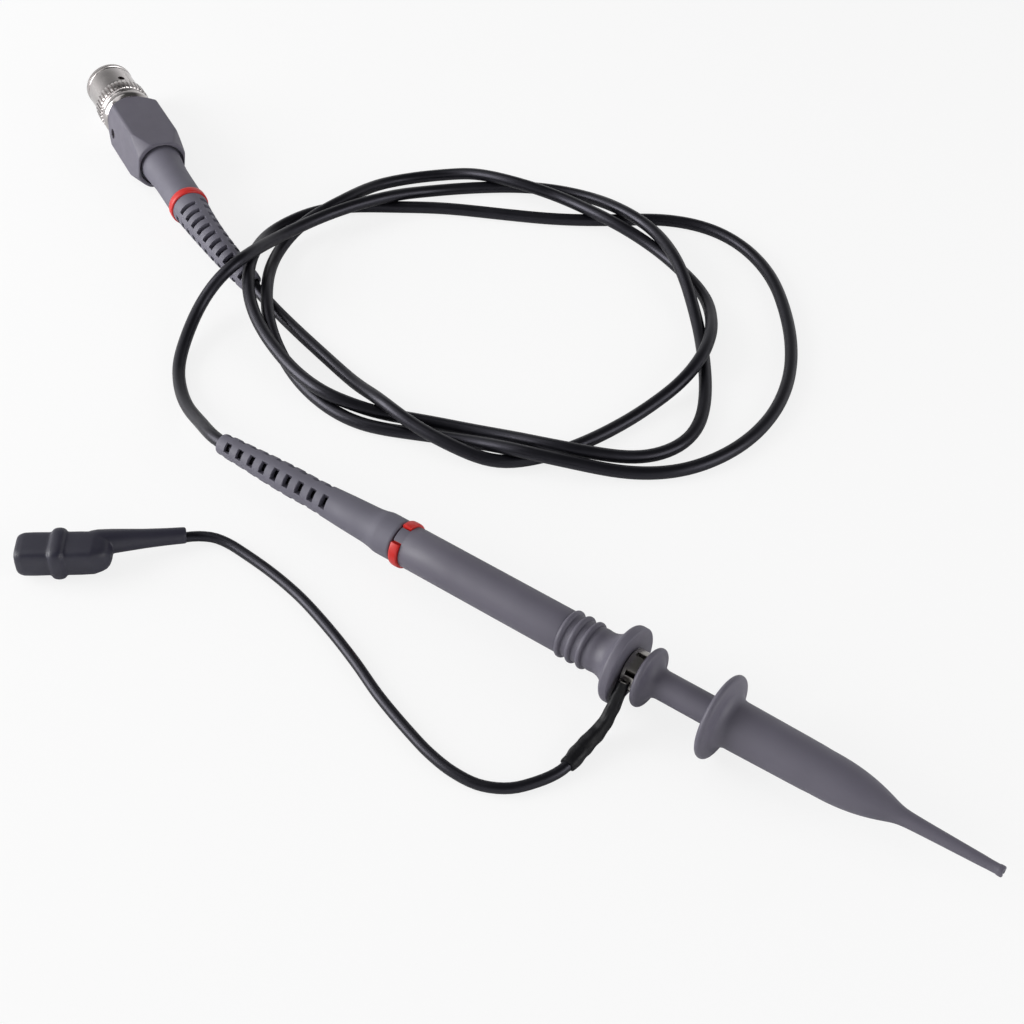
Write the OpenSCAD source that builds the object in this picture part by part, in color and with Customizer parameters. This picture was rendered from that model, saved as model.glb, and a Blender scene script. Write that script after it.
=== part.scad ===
// Passive oscilloscope probe: probe head with a spring-loaded hook tip, a ground lead with a
// crocodile clip, a coaxial cable lying in loose loops, and a BNC plug with a compensation box.
// X runs along the probe head towards its tip, Z is up and z = 0 is the bench top.
// The origin lies under the middle of the probe head. Millimetres.

/* [Probe head] */
// Length of the rear strain relief, up to the marker ring
boot_len = 57.8; // [50:0.1:70]
// Diameter of the strain relief where the cable leaves it
boot_end_d = 5.4; // [5:0.1:6.5]
// Diameter of the strain relief at the front end of its windows
boot_mid_d = 7.6; // [6.8:0.1:8.4]
// Diameter of the strain relief where its collar begins
boot_front_d = 9.2; // [8.8:0.1:10]
// Width of the collar at the front of the strain relief
boot_collar_w = 5.2; // [3:0.1:8]
// Width of the colour marker ring
marker_w = 3; // [2:0.1:6]
// Height of the marker's lobes above the barrel
marker_rise = 0.6; // [0.2:0.05:1]
// Diameter of the barrel
barrel_d = 10.5; // [9.6:0.1:12]
// Length of the plain barrel
barrel_len = 44.6; // [30:0.1:60]
// Number of grip ribs
rib_count = 3; // [2:1:5]
// Distance from one grip rib to the next
rib_pitch = 2.9; // [2.4:0.1:4]
// Height of a grip rib
rib_rise = 0.6; // [0.3:0.05:1]
// Diameter of the finger guard
guard_d = 19; // [17:0.1:22]
// Radius of the finger guard's flare
flare_r = 4.8; // [4:0.1:6]
// Thickness of the guard's rim
rim_w = 2.7; // [1.9:0.1:3.2]

/* [Tip of the probe] */
// Diameter of the metal ground barrel
ground_d = 5; // [4.6:0.1:5.4]
// Length of the ground barrel ahead of the guard
ground_reach = 17.9; // [15:0.1:20]
// Bore of the ground barrel
ground_bore = 3.8; // [3.4:0.1:4]
// Diameter of the probe needle
needle_d = 0.9; // [0.7:0.05:1.1]
// Length of the needle ahead of the ground barrel
needle_reach = 9.5; // [6:0.1:10]
// Diameter of the insulator's nose around the needle
nose_d = 3; // [2.4:0.1:3]

/* [Hook tip] */
// Gap between guard and hook tip, where the ground collar sits
collar_gap = 4.2; // [4:0.1:5]
// Diameter of the disc at the rear of the hook tube
disc_d = 14.5; // [12:0.1:16]
// Thickness of that disc
disc_w = 1.7; // [1.2:0.1:2.4]
// Diameter of the hook tube
tube_d = 6.9; // [6.6:0.1:7.4]
// Length of hook tube that shows between disc and sleeve at rest
tube_show = 16.9; // [15.6:0.1:22]
// Travel of the sleeve
sleeve_travel = 12; // [8:0.1:12.2]
// Length of the sleeve
sleeve_len = 67.7; // [65:0.1:80]
// Diameter of the sleeve behind its flange
sleeve_d = 11.3; // [10.8:0.1:12.4]
// Diameter of the sleeve where its nose begins
sleeve_front_d = 10.4; // [10:0.1:11]
// Diameter of the sleeve's thumb flange, which the head lies on
flange_d = 20.3; // [18.4:0.1:24]
// Thickness of the thumb flange at its rim
flange_w = 1.9; // [1.4:0.1:3]
// Length of the sleeve up to its nose
shoulder_len = 26; // [24:0.1:30]
// Length of the rounded nose
nose_len = 18; // [14:0.1:22]
// Diameter of the slim nozzle where it leaves the nose
nozzle_d = 3.5; // [3:0.1:4.4]
// Diameter of the nozzle at the tip
nozzle_tip_d = 2.3; // [2.1:0.05:2.8]
// Diameter of the hook wire
hook_wire_d = 0.7; // [0.5:0.05:0.8]
// Reach of the hook's bent end, wire centre to wire centre
hook_bend = 0.9; // [0.8:0.05:1.1]
// Wire diameter of the return spring
spring_wire = 0.5; // [0.3:0.05:0.6]
// Turns of the return spring
spring_turns = 8; // [5:1:10]

/* [Cable and ground lead] */
// Outer diameter of the coaxial cable
cable_d = 3.5; // [3:0.1:4]
// Outer diameter of the ground lead
lead_d = 2.6; // [2:0.1:3]
// Thickness of the heat-shrink sleeve where it narrows, across the head
shrink_w = 3.4; // [3:0.1:3.7]

/* [Crocodile clip] */
// Height of the clip's boot, lying on its side
clip_h = 7.4; // [7:0.1:10]
// Width of the clip's boot
clip_w = 8.6; // [8:0.1:12]
// Length of the boot ahead of the cuff
clip_block = 8.4; // [7:0.1:12]
// Length of the boot from the hinge pin to the cuff
clip_mid = 4; // [3.4:0.1:6]
// Length of the thumb lobe behind the hinge pin
clip_lobe = 8.2; // [7:0.1:10]
// Width of the raised cuff
cuff_w = 3.2; // [2:0.1:4]
// Height of the cuff above the boot
cuff_rise = 0.5; // [0.3:0.05:0.9]
// Wall of the soft boot
clip_wall = 1; // [0.8:0.05:1.2]
// Opening angle of the jaws
jaw_open = 18; // [10:1:20]
// Thickness of the jaws' sheet metal
jaw_sheet = 0.5; // [0.4:0.05:0.7]
// Diameter of the hinge pin
clip_pin_d = 1.5; // [1.2:0.1:1.8]
// Length of the neck that the lead runs into
neck_len = 20.8; // [16:0.1:24]
// Diameter of the neck where the lead enters
neck_end_d = 4; // [3.8:0.1:4.6]
// Diameter of the neck where it meets the boot
neck_root_d = 6.3; // [5.6:0.1:6.8]

/* [BNC plug] */
// Outer diameter of the knurled grip of the coupling nut
nut_d = 16.2; // [14.5:0.1:16.4]
// Outer diameter of the nut's front sleeve
nut_front_d = 14.8; // [12.6:0.1:15]
// Length of the nut's front sleeve
nut_front_len = 11.8; // [10.8:0.1:14]
// Length of the knurled grip
nut_grip_len = 6; // [4:0.1:8]
// Bore of the coupling nut
nut_bore = 9.7; // [9.6:0.05:9.9]
// Number of knurls round the grip
nut_knurls = 40; // [24:2:48]
// Width of a bayonet slot
slot_w = 2.2; // [2:0.1:2.4]
// Outer diameter of the outer contact sleeve
contact_d = 8.1; // [7.8:0.05:8.3]
// Bore of the outer contact sleeve
contact_bore = 6.9; // [6.5:0.05:7]
// Diameter of the centre pin
pin_d = 1.35; // [1.3:0.01:1.4]
// Diameter of the plug's rear flange
body_d = 16; // [15.6:0.1:16.4]
// Length of the plug's rear flange
body_len = 3; // [2.4:0.1:5]

/* [Compensation box] */
// Width across the flats of the square box
box_w = 14.6; // [14.6:0.1:18]
// Length of the box
box_len = 29.4; // [27:0.1:34]
// Radius of the box's long edges
box_edge = 1; // [0.6:0.1:2]
// Wall of the box
box_wall = 1.4; // [1:0.1:1.8]
// How far the box is turned about the plug's axis as it lies
box_roll = 9; // [0:1:20]
// Length of the front chamfer that takes off the box's corners
chamfer_len = 3.4; // [2:0.1:5]
// Length of the turned rear taper
taper_len = 8; // [6:0.1:10]
// Outer diameter of the rear rim
rear_rim_d = 15.8; // [15:0.1:16.4]
// Diameter of the rear opening, where the cable boot is held
rear_bore = 13.8; // [13.2:0.1:14]
// Diameter of the hole over the trimmer
trim_hole_d = 3; // [2.6:0.1:3.4]
// Distance of the trimmer behind the front of the box
trim_x = 5; // [4.6:0.1:9]
// Height of the trimmer from the middle of the box
trim_z = -2; // [-3.6:0.1:3.4]
// Thickness of the circuit board
board_t = 1; // [0.8:0.1:1.6]

/* [Cable boot at the plug] */
// Length of the boot's plain neck behind the box, up to the marker ring
neck_run = 22; // [18:0.1:28]
// Diameter of the neck at the marker ring
neck_d = 10.6; // [10:0.1:11.4]
// Width of the marker ring at the plug
plug_ring_w = 2.6; // [2:0.1:4]
// Diameter of the marker ring at the plug
plug_ring_d = 11.5; // [11:0.1:12.4]
// Diameter of the boot's tail where the cable leaves it
tail_end_d = 5.8; // [5.6:0.1:6.6]
// Diameter of the tail behind the marker ring
tail_d = 10; // [9.4:0.1:10.4]
// How far the resting tail bends down
tail_drop = 4.9; // [3:0.1:5]
// How far the resting tail bends sideways
tail_side = 5; // [3:0.1:6]

/* [Strain relief windows] */
// Windows in each row of the head's strain relief
window_count = 9; // [6:1:9]
// Distance from one window to the next along a row
window_pitch = 4; // [3.6:0.05:4]
// Length of a window along the row
window_len = 1.8; // [1.2:0.1:2.2]
// Angle that a window spans round the boot
window_span = 52; // [36:1:60]

// Windows in each row of the plug's strain relief
tail_windows = 10; // [6:1:10]
// Distance from window to window at the plug
tail_pitch = 3.3; // [2.6:0.05:3.3]
// Length of a window at the plug
tail_window_len = 1.5; // [1:0.1:1.8]
// Angle that a window at the plug spans
tail_span = 66; // [40:1:70]

/* [Fits] */
// Radial clearance of a sliding or turning fit
slide_fit = 0.05; // [0.03:0.01:0.09]
// Clearance between parts that don't touch
air = 0.3; // [0.3:0.05:0.5]
// Radial clearance of a piece seated in a bore
seat_fit = 0.02; // [0.01:0.01:0.05]

/* [Hidden] */
$fn = 48;

// Stations along the head, from the cable end of the strain relief to the tip
x_rear = -106.8;
x_marker = x_rear + boot_len + 0.4;
x_barrel = x_marker + marker_w + 0.15;
x_rib = x_barrel + barrel_len;
x_guard = x_rib + rib_count * rib_pitch - 0.65;
barrel_r = barrel_d / 2;
waist_r = barrel_r - 0.1;
guard_r = guard_d / 2;
rim_r = (rim_w - 0.5) / 2;
flare_a = acos(1 - (guard_r - waist_r) / (flare_r + rim_r));
x_flare = x_guard + 1.8;
x_rim = x_flare + (flare_r + rim_r) * sin(flare_a);
x_front = x_rim + 0.5 + rim_r;
x_collar = x_front + 0.3;
collar_w = collar_gap - 0.6;
x_tube = x_front + collar_gap;
x_ground = x_front + ground_reach;
x_sleeve = x_tube + disc_w + tube_show;
x_tip = x_sleeve + sleeve_len;
lip_len = 11.3;
x_snap = x_sleeve + lip_len + air;
snap_w = 2;
chamber_end = x_snap + snap_w + sleeve_travel + 6.5;
axis_z = flange_d / 2;

// Stations inside the head: the spigot's rear end, the ferrule's pin, and the rear of the
// ground barrel, with the resistor in the middle between them
x_spig = x_rear + boot_len - 9.8;
x_pin = x_spig + 16;
x_gb = x_front - 27.1;
resistor_len = 0.625 * (x_gb - x_pin);
x_res = (x_pin + x_gb) / 2 - resistor_len / 2 - 2;

// Radii shared by mating parts of the head
spigot_r = 4;
ferrule_r = 2.6;
core_r = 3.2;
socket_r = 1.7;
chamber_r = tube_d / 2 + 0.7;
ring_r = 4.5;
ground_r = ground_d / 2;
needle_r = needle_d / 2;
wire_r = hook_wire_d / 2;
cable_r = cable_d / 2;
lead_r = lead_d / 2;

// Plug: it lies on the nut's grip and a corner of its box
corner_r = box_edge + (box_w / 2 - box_edge) * sqrt(2) * sin(45 + box_roll);
plug_at = [-256, 105.4, max(nut_d / 2, body_d / 2, corner_r) + 0.02];
plug_a = -26.4;
lip_x = 13.9;
nut_x = 3.6;
contact_x = 5;
pin_x = 10.2;
grip_x = nut_x + nut_front_len;
nut_end = grip_x + nut_grip_len;
body_x = nut_end + 0.4;
box_x = body_x + body_len;
box_end = box_x + box_len;
neck_r = contact_d / 2 + 0.05;
pin_barrel_r = pin_d / 2 + 0.4;
spring_bore = 5;
boot_x = box_end - 4;
ring_x = box_end + neck_run;
bend_x = ring_x + plug_ring_w + 1.2;
bend_len = 36;
bend_off = norm([tail_side, tail_drop]);
bend_r = bend_len * bend_len / (2 * bend_off);
bend_a = bend_len / bend_r * 180 / PI;
bend_turn = atan2(-tail_drop, tail_side);
tail_start = 1.05;

// Clip: it lies on its side on the bench
clip_at = [-112.5, -45.3, clip_h / 2 + cuff_rise];
clip_a = 218;
slit = 0.15;
jaw_v = clip_w / 2 - clip_wall;
nose_u = clip_mid + cuff_w + clip_block;
neck_a = 7.5;
neck_root = [-4.3, -4.6, -0.6];
neck_dz = neck_end_d / 2 + 0.2 - clip_at[2];
neck_tip = neck_root - [neck_len * cos(neck_a), neck_len * sin(neck_a), neck_root[2] - neck_dz];

function arc(c, r, a0, a1, n) =
  [for (i = [0:n]) let(a = a0 + (a1 - a0) * i / n) [c[0] + r * cos(a), c[1] + r * sin(a)]];
function unit(v) = v / norm(v);
function tangent(p, i) = unit(p[min(i + 1, len(p) - 1)] - p[max(i - 1, 0)]);
function ring(p, i, a, b, n) =
  let(t = tangent(p, i), s = unit(cross(t, [0, 0, 1])), u = cross(s, t))
  [for (k = [0:n - 1]) let(w = 360 * (k + 0.5) / n) p[i] + a * cos(w) * s + b * sin(w) * u];
function skin(m, n) = concat(
  [for (k = [1:n - 2]) [0, k + 1, k]],
  [for (i = [0:m - 2], k = [0:n - 1], h = [0, 1])
    let(a = i * n + k, b = i * n + (k + 1) % n) h == 0 ? [a, b, a + n] : [b, b + n, a + n]],
  [for (k = [1:n - 2]) let(a = (m - 1) * n) [a, a + k, a + k + 1]]);
function flat(v) = [for (r = v, p = r) p];

// A point of the plug's own frame, in the part's frame
function plug_pt(x, y, z) = plug_at
  + [x * cos(plug_a) - y * sin(plug_a), x * sin(plug_a) + y * cos(plug_a), z];
// A point on the middle line of the bent tail, at an angle along its bend
function tail_pt(a) = let(o = bend_r * (1 - cos(a)))
  plug_pt(bend_x + bend_r * sin(a), o * cos(bend_turn), o * sin(bend_turn));
// A point of the clip's own frame, in the part's frame
function clip_pt(p) = clip_at + [p[0] * cos(clip_a) - p[1] * sin(clip_a),
  p[0] * sin(clip_a) + p[1] * cos(clip_a), p[2]];

// The cable's loose loops, from the head's strain relief to the plug's
KNOTS = [
  [-111.5, 0.5, 9.6], [-117, 4, 7.5], [-124, 7, 5],
  [-131, 10.5, 3], [-138, 15.5, 1.9], [-145, 22, 1.75], [-149, 29, 3], [-151, 36, 7.25],
  [-151.5, 43, 11.25], [-152, 51, 13], [-152, 61, 13], [-151.5, 70, 12.25],
  [-151, 78, 11.25], [-150, 85, 10.75], [-147.5, 94, 10.25], [-146, 102, 8.75],
  [-144.75, 109, 6.9], [-142.75, 115.5, 5.6], [-141, 122, 3.25], [-137, 129.25, 1.8], [-128, 137.5, 1.75],
  [-118, 145, 1.75], [-108, 149.75, 1.75], [-101, 150.5, 2.5], [-94, 149.5, 4.25],
  [-87, 147.5, 6], [-79.5, 146.5, 6.25], [-72.5, 144.5, 6.25], [-65.5, 141, 6.25],
  [-59, 136.5, 6.1], [-52.5, 131, 5.5], [-47, 126, 3.5], [-41, 120, 1.9], [-36, 114, 1.75],
  [-30, 106, 1.75], [-24, 97, 1.75], [-19, 87, 1.75], [-17.5, 78, 1.75],
  [-20, 70, 2.1], [-23.5, 63.5, 3.5], [-28.5, 58.75, 5.1], [-35.5, 55, 6], [-43, 52, 6],
  [-51, 50.5, 4.9], [-59, 49.25, 3.1], [-67, 47.5, 1.9], [-77, 44, 1.75],
  [-86.5, 40, 1.75], [-90.5, 37, 3.1], [-93.5, 34.75, 5.6], [-99, 33, 6.1], [-106, 33.5, 6.1], [-114, 35, 6.1],
  [-122, 38, 6.1], [-131, 41.5, 7], [-139, 46, 8.6], [-145, 51, 9.5], [-151, 58, 9.1],
  [-155.5, 64, 8], [-159.5, 71, 5.75], [-163.5, 79, 3.25], [-164.25, 88, 1.9],
  [-161, 98.5, 1.75], [-154, 106, 1.75], [-144, 113, 1.75], [-132, 121.25, 1.75],
  [-116, 129.25, 1.75], [-101, 137, 1.75], [-88, 146, 1.75],
  [-76, 155.5, 1.75], [-63, 160, 1.75], [-50, 158.5, 1.75], [-36, 151, 1.75], [-25, 140, 1.75],
  [-16.5, 129, 1.75], [-9, 115, 1.75], [-5, 99, 1.75], [-6, 83, 1.75], [-12, 69, 1.75],
  [-18, 62.5, 2], [-24, 57, 3.25], [-31, 52.75, 4.75], [-38, 49.25, 5.8], [-45, 46.5, 6.1],
  [-51, 45.25, 5.6], [-57, 44.75, 3.9], [-64, 44, 1.9], [-71, 41, 1.75], [-80, 36.75, 1.75], [-89, 33, 1.75],
  [-98, 32.5, 1.75], [-107, 34, 1.75], [-116, 37, 1.75], [-124, 41, 1.9], [-131, 45, 3.1],
  [-136.5, 49, 5.25], [-141.5, 54.5, 7], [-146, 60, 6.6], [-151, 67, 5.4], [-155, 76, 4.75],
  [-156.5, 84, 5.4], [-156, 92, 6.1], [-154.5, 99, 6.25], [-153.5, 107, 5.9], [-152.75, 115, 4.75],
  [-151, 123, 2.75], [-146.5, 131, 1.75], [-140, 136.5, 2.1],
  [-132.5, 137.25, 5.25], [-124, 138.75, 6.1], [-114, 140.5, 6.25], [-104.5, 141.5, 6.25],
  [-96.5, 141.75, 6], [-88.5, 141.25, 6], [-81.5, 141.5, 5.25], [-74, 142.5, 2.8],
  [-66, 141.25, 1.75], [-58, 138, 1.75], [-50.5, 134.25, 2.1], [-44.25, 129.5, 3.2],
  [-39.25, 123.5, 4.6], [-34.75, 117, 5.75], [-31.5, 109.5, 6.1], [-30, 102.5, 5.6], [-30.75, 96, 2.9],
  [-32.5, 87, 1.75], [-34, 77.5, 1.75], [-36, 70, 1.75], [-39, 61, 1.75], [-43, 53, 1.75],
  [-47.5, 47, 1.75], [-51.5, 42.5, 1.8], [-56, 39.25, 3.75], [-62, 37.25, 5.9], [-70, 36.5, 6.5],
  [-78, 37, 6.9], [-85, 38.5, 6.9], [-91.5, 40.5, 5.9], [-98, 43, 3], [-107, 46, 1.75], [-116, 48.5, 1.75],
  [-126, 51.25, 1.75], [-136, 54.25, 1.8], [-143, 56.25, 2.25]
];
loops = [for (i = [0:len(KNOTS) - 1])
  KNOTS[i] + [0, 0, (axis_z - 10.15) * max(0, 1 - i / 6)
    + (box_w / 2 - 7.3) * max(0, 1 - (len(KNOTS) - 1 - i) / 4)]];
cable_path = concat(
  [[x_spig + 2.2, 0, axis_z], [x_rear - 0.2, 0, axis_z]],
  loops,
  [for (i = [0:6]) tail_pt(bend_a * (1 - i / 6))],
  [plug_pt(box_end - 9.2, 0, 0)]);

// The ground lead's tail leaves the collar square, then runs to the clip in one sweep
tail_dir = [0, -0.6, -0.8];
tail_at = [x_collar + collar_w / 2, -5.9, axis_z + 1.45];
shift = [tail_at[0] - 18.3, 0, 0];
bends = [[18.2, -10.8, 5.5], [18, -13.2, 3.5], [17.7, -16.5, 2.6], [17.4, -20, 2.2],
  [17.3, -22.8, 1.9], [17.2, -25.2, 1.75]];
sweep = [[16.5, -28, 1.5], [14.5, -32, 1.32], [10.6, -37.2, 1.32], [4.9, -40.4, 1.32],
  [-1.9, -41.1, 1.32], [-9, -40.2, 1.32], [-15.8, -38.4, 1.32], [-28, -34.4, 1.32],
  [-39.1, -29.8, 1.32], [-50.1, -25.8, 1.32], [-61, -22.5, 1.32], [-67.5, -21.1, 1.32],
  [-74.1, -20.1, 1.32], [-82, -19.4, 1.32], [-88.5, -19.3, 1.5], [-92.3, -20.2, 1.8]];
lead_in = clip_pt(neck_tip) + 2.8 * unit(clip_pt(neck_tip) - clip_pt(neck_root));
shrink_path = concat([tail_at + 1.2 * tail_dir, tail_at + 4.6 * tail_dir],
  [for (p = bends) p + shift]);
lead_path = concat([tail_at + 3.9 * tail_dir, tail_at + 4.6 * tail_dir],
  [for (p = bends) p + shift], [for (p = sweep) p],
  [lead_in, clip_pt(neck_tip), clip_pt(neck_root + 0.22 * (neck_tip - neck_root))]);
shrink_a = [for (i = [0:7]) shrink_w / 2 + [0, 0, 0.2, 0.35, 0.45, 0.5, 0.4, 0.25][i]];
shrink_b = [2, 2.05, 2.05, 2, 2, 1.95, 1.85, 1.7];

// Helix about Z with closed ends: mean radius, length, turns, points per turn
function coil(r, h, turns, n, w) = [for (i = [0:turns * n])
  let(q = i / n, e = 0.75, f = q < e ? 0 : q > turns - e ? 1 : (q - e) / (turns - 2 * e),
    z = w / 2 + 0.02 + min(q, e) * w + f * (h - w * (1 + 2 * e) - 0.04)
      + max(0, q - turns + e) * w)
  [r * cos(360 * q), r * sin(360 * q), z]];

// Least distance between strands of the cable, measured middle to middle on its own points
function dense(p) = [for (i = [0:len(p) - 2], h = [0:3]) p[i] + (p[i + 1] - p[i]) * h / 4];
function strand_gap(d, far) = min([for (i = [0:2:len(d) - 1], j = [i + far:2:len(d) - 1])
  norm(d[i] - d[j])]);
echo(cable_rings = len(cable_path), strand_gap = strand_gap(dense(loops), 24) - cable_d);

module on_axis() translate([0, 0, axis_z]) children();
module turned(outline)
  rotate([0, 90, 0]) rotate_extrude() polygon([for (p = outline) [p[1], p[0]]]);
module x_rod(x0, x1, r) translate([x0, 0, 0]) rotate([0, 90, 0]) cylinder(h = x1 - x0, r = r);
module rod(a, b, r0, r1) let(d = b - a) translate(a)
  rotate([0, acos(d[2] / norm(d)), atan2(d[1], d[0])]) cylinder(h = norm(d), r1 = r0, r2 = r1);
// Extrudes a shape of the Y-Z plane along X
module along(x0, len) translate([x0, 0, 0]) rotate([90, 0, 90]) linear_extrude(len) children();
module sector(r, a0, a1) polygon(concat([[0, 0]], arc([0, 0], r, a0, a1, 8)));
module ring2d(ro, ri) difference() {
  circle(ro);
  circle(ri);
}
module tube(p, a, b, n) polyhedron(
  points = flat([for (i = [0:len(p) - 1]) ring(p, i, a[i], b[i], n)]), faces = skin(len(p), n));
module cord(p, r) tube(p, [for (q = p) r], [for (q = p) r], 8);
module at_plug() translate(plug_at) rotate([0, 0, plug_a]) children();
module at_clip() translate(clip_at) rotate([0, 0, clip_a]) children();
// Moves a piece of the straight tail to an angle along the bend
module on_bend(a) translate([bend_x, 0, 0]) rotate([bend_turn, 0, 0]) translate([0, bend_r, 0])
  rotate([0, 0, a]) translate([0, -bend_r, 0]) children();

module grey() color([0.36, 0.35, 0.39]) children();
module red() color([0.8, 0.1, 0.08]) children();
module metal() color([0.75, 0.75, 0.76]) children();
module brass() color([0.78, 0.62, 0.32]) children();
module black() color([0.05, 0.05, 0.06]) children();
module navy() color([0.07, 0.08, 0.13]) children();
module white() color([0.93, 0.93, 0.9]) children();

// Probe head ------------------------------------------------------------------

module probe_body() grey() on_axis() {
  turned(concat(
      [[x_spig, core_r], [x_spig, spigot_r], [x_barrel - 0.05, spigot_r],
        [x_barrel - 0.05, barrel_r - 0.25], [x_barrel + 0.2, barrel_r]],
      [for (i = [0:rib_count - 1]) each concat([[x_rib + i * rib_pitch, barrel_r - 0.05]],
        [for (a = [150:-30:30]) [x_rib + i * rib_pitch + 0.75 + 0.75 * cos(a),
          barrel_r - 0.05 + (rib_rise + 0.05) * sin(a)]],
        [[x_rib + i * rib_pitch + 1.5, barrel_r - 0.05]])],
      [[x_guard + 0.2, barrel_r], [x_guard + 0.7, barrel_r]],
      arc([x_flare, waist_r + flare_r], flare_r, 270, 270 + flare_a, 10),
      arc([x_rim, guard_r - rim_r], rim_r, 180 - (90 - flare_a) - 0.01, 90, 5),
      arc([x_rim + 0.5, guard_r - rim_r], rim_r, 90, 0, 6),
      [[x_front, ground_r + seat_fit], [x_gb + 8, ground_r + seat_fit],
        [x_gb + 8, core_r]]));
  along(x_marker, x_barrel - x_marker + 0.1) for (m = [111, 291]) intersection() {
    ring2d(barrel_r, ring_r + 0.05);
    rotate([0, 0, m]) sector(8, -21.5, 21.5);
  }
}

// Windows of a strain relief: two rows on a cross, the other two set half a pitch on
module window(a, len = window_len, span = window_span) along(0, len) rotate([0, 0, a])
  sector(9, -span / 2, span / 2);

module rear_boot() grey() on_axis() {
  k = boot_len / 57.8;
  e = boot_end_d / 2;
  m = boot_mid_d / 2;
  f = boot_front_d / 2;
  difference() {
    turned(concat(
      [for (p = [[0, e - 0.2], [0.3, e], [3.6, e + 0.28], [7.1, e + 0.35], [10.7, e + 0.53],
        [14.2, e + 0.77], [17.7, e + 0.9], [24.6, m], [30.4, m - 0.06], [34.7, m + 0.17],
        [41.4, f - 0.27], [48, f]]) [x_rear + p[0] * k, p[1]]],
      [[x_rear + boot_len - boot_collar_w, barrel_r + 0.05],
        [x_rear + boot_len - 0.3, barrel_r + 0.05], [x_rear + boot_len, barrel_r - 0.25],
        [x_rear + boot_len, spigot_r + seat_fit], [x_spig, spigot_r + seat_fit],
        [x_spig, ferrule_r + 0.1], [x_spig - 1.3, ferrule_r + 0.1],
        [x_spig - 1.3, cable_r + air], [x_rear, cable_r + air]]));
    for (r = [0:3], i = [0:window_count - 1])
      translate([x_rear + 1.0 + (i + (r % 2) / 2) * window_pitch, 0, 0]) window(45 + 90 * r);
  }
}

module marker_ring() red() on_axis() {
  along(x_marker, marker_w) ring2d(ring_r, spigot_r + seat_fit);
  intersection() {
    turned([[x_marker, ring_r - 0.2], [x_marker, barrel_r + marker_rise - 0.3],
      [x_marker + 0.3, barrel_r + marker_rise], [x_marker + marker_w - 0.3, barrel_r + marker_rise],
      [x_marker + marker_w, barrel_r + marker_rise - 0.3], [x_marker + marker_w, ring_r - 0.2]]);
    along(x_marker, marker_w) for (m = [21, 201]) rotate([0, 0, m]) sector(8, -66, 66);
  }
}

module ground_barrel() metal() on_axis() difference() {
  union() {
    x_rod(x_gb, x_ground - 0.3, ground_r);
    x_rod(x_gb, x_gb + 7.9, core_r - seat_fit);
    translate([x_ground - 0.3, 0, 0]) rotate([0, 90, 0])
      cylinder(h = 0.3, r1 = ground_r, r2 = ground_r - 0.3);
  }
  x_rod(x_gb - 1, x_ground + 1, ground_bore / 2);
}

module tip_insulator() white() on_axis() difference() {
  union() {
    x_rod(x_gb + 4, x_ground, ground_bore / 2 - seat_fit);
    x_rod(x_ground, x_ground + 1.5, nose_d / 2 - 0.1);
  }
  x_rod(x_gb + 3, x_ground + 3, needle_r + seat_fit);
}

module probe_needle() metal() on_axis() {
  x_rod(x_gb + 2, x_ground + needle_reach - 2.5, needle_r);
  translate([x_ground + needle_reach - 2.5, 0, 0]) rotate([0, 90, 0])
    cylinder(h = 2.5, r1 = needle_r, r2 = 0.08);
}

module input_resistor() color([0.35, 0.5, 0.62]) on_axis() {
  e = x_res + resistor_len;
  turned([[x_res, 0], [x_res, 1.6], [x_res + 0.6, 2.2], [x_res + 3, 2.2], [x_res + 3.6, 1.95],
    [e - 3.6, 1.95], [e - 3, 2.2], [e - 0.6, 2.2], [e, 1.6], [e, 0]]);
  x_rod(x_pin, x_res + 0.1, 0.3);
  x_rod(e - 0.1, x_gb + 2, 0.3);
}

module cable_ferrule() metal() on_axis() {
  turned([[x_spig - 1, cable_r + seat_fit], [x_spig - 1, ferrule_r], [x_spig + 2, ferrule_r],
    [x_spig + 2, core_r - seat_fit], [x_spig + 6, core_r - seat_fit],
    [x_spig + 6, ferrule_r], [x_pin - 2, ferrule_r], [x_pin - 2, 0],
    [x_spig + 2.5, 0], [x_spig + 2.5, cable_r + seat_fit]]);
  x_rod(x_pin - 2.1, x_pin, 0.5);
}

// Push-on ring of the ground lead: a castellated cup with sprung inner fingers
module ground_collar() metal() {
  on_axis() {
    difference() {
      along(x_collar, collar_w) ring2d(4.9, 4.3);
      for (i = [0:5]) along(x_collar + 0.8, collar_w) rotate([0, 0, 60 * i + 22])
        translate([2, -0.6]) square([4, 1.2]);
    }
    along(x_collar, 0.8) ring2d(4.9, ground_r + seat_fit);
    difference() {
      along(x_collar, collar_w - 0.4) ring2d(ground_r + 0.5, ground_r + seat_fit);
      for (i = [0:2]) along(x_collar + 0.8, collar_w) rotate([0, 0, 60 * i])
        square([9, 0.6], center = true);
    }
  }
  rod(tail_at - 0.6 * tail_dir, tail_at + 3.6 * tail_dir, 1.1, 1.1);
  translate([tail_at[0], -5.1, axis_z + 1.6]) cube([1.8, 1.2, 1.6], center = true);
}

// Hook tip --------------------------------------------------------------------

module hook_tube() grey() on_axis() {
  q = disc_w / 2;
  t = tube_d / 2;
  fil = disc_d / 2 - q - t;
  bore = ground_r + slide_fit;
  turned(concat([[x_tube, bore]],
    arc([x_tube + q, disc_d / 2 - q], q, 180, 0, 10),
    arc([x_tube + disc_w + fil, disc_d / 2 - q], fil, 180, 270, 8),
    [[x_snap, t], [x_snap, chamber_r - slide_fit], [x_snap + 1.2, chamber_r - slide_fit],
      [x_snap + snap_w, t], [x_snap + snap_w + 0.5, t], [x_snap + snap_w + 0.5, socket_r],
      [x_ground + 1, socket_r], [x_ground + 1, bore]]));
}

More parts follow.
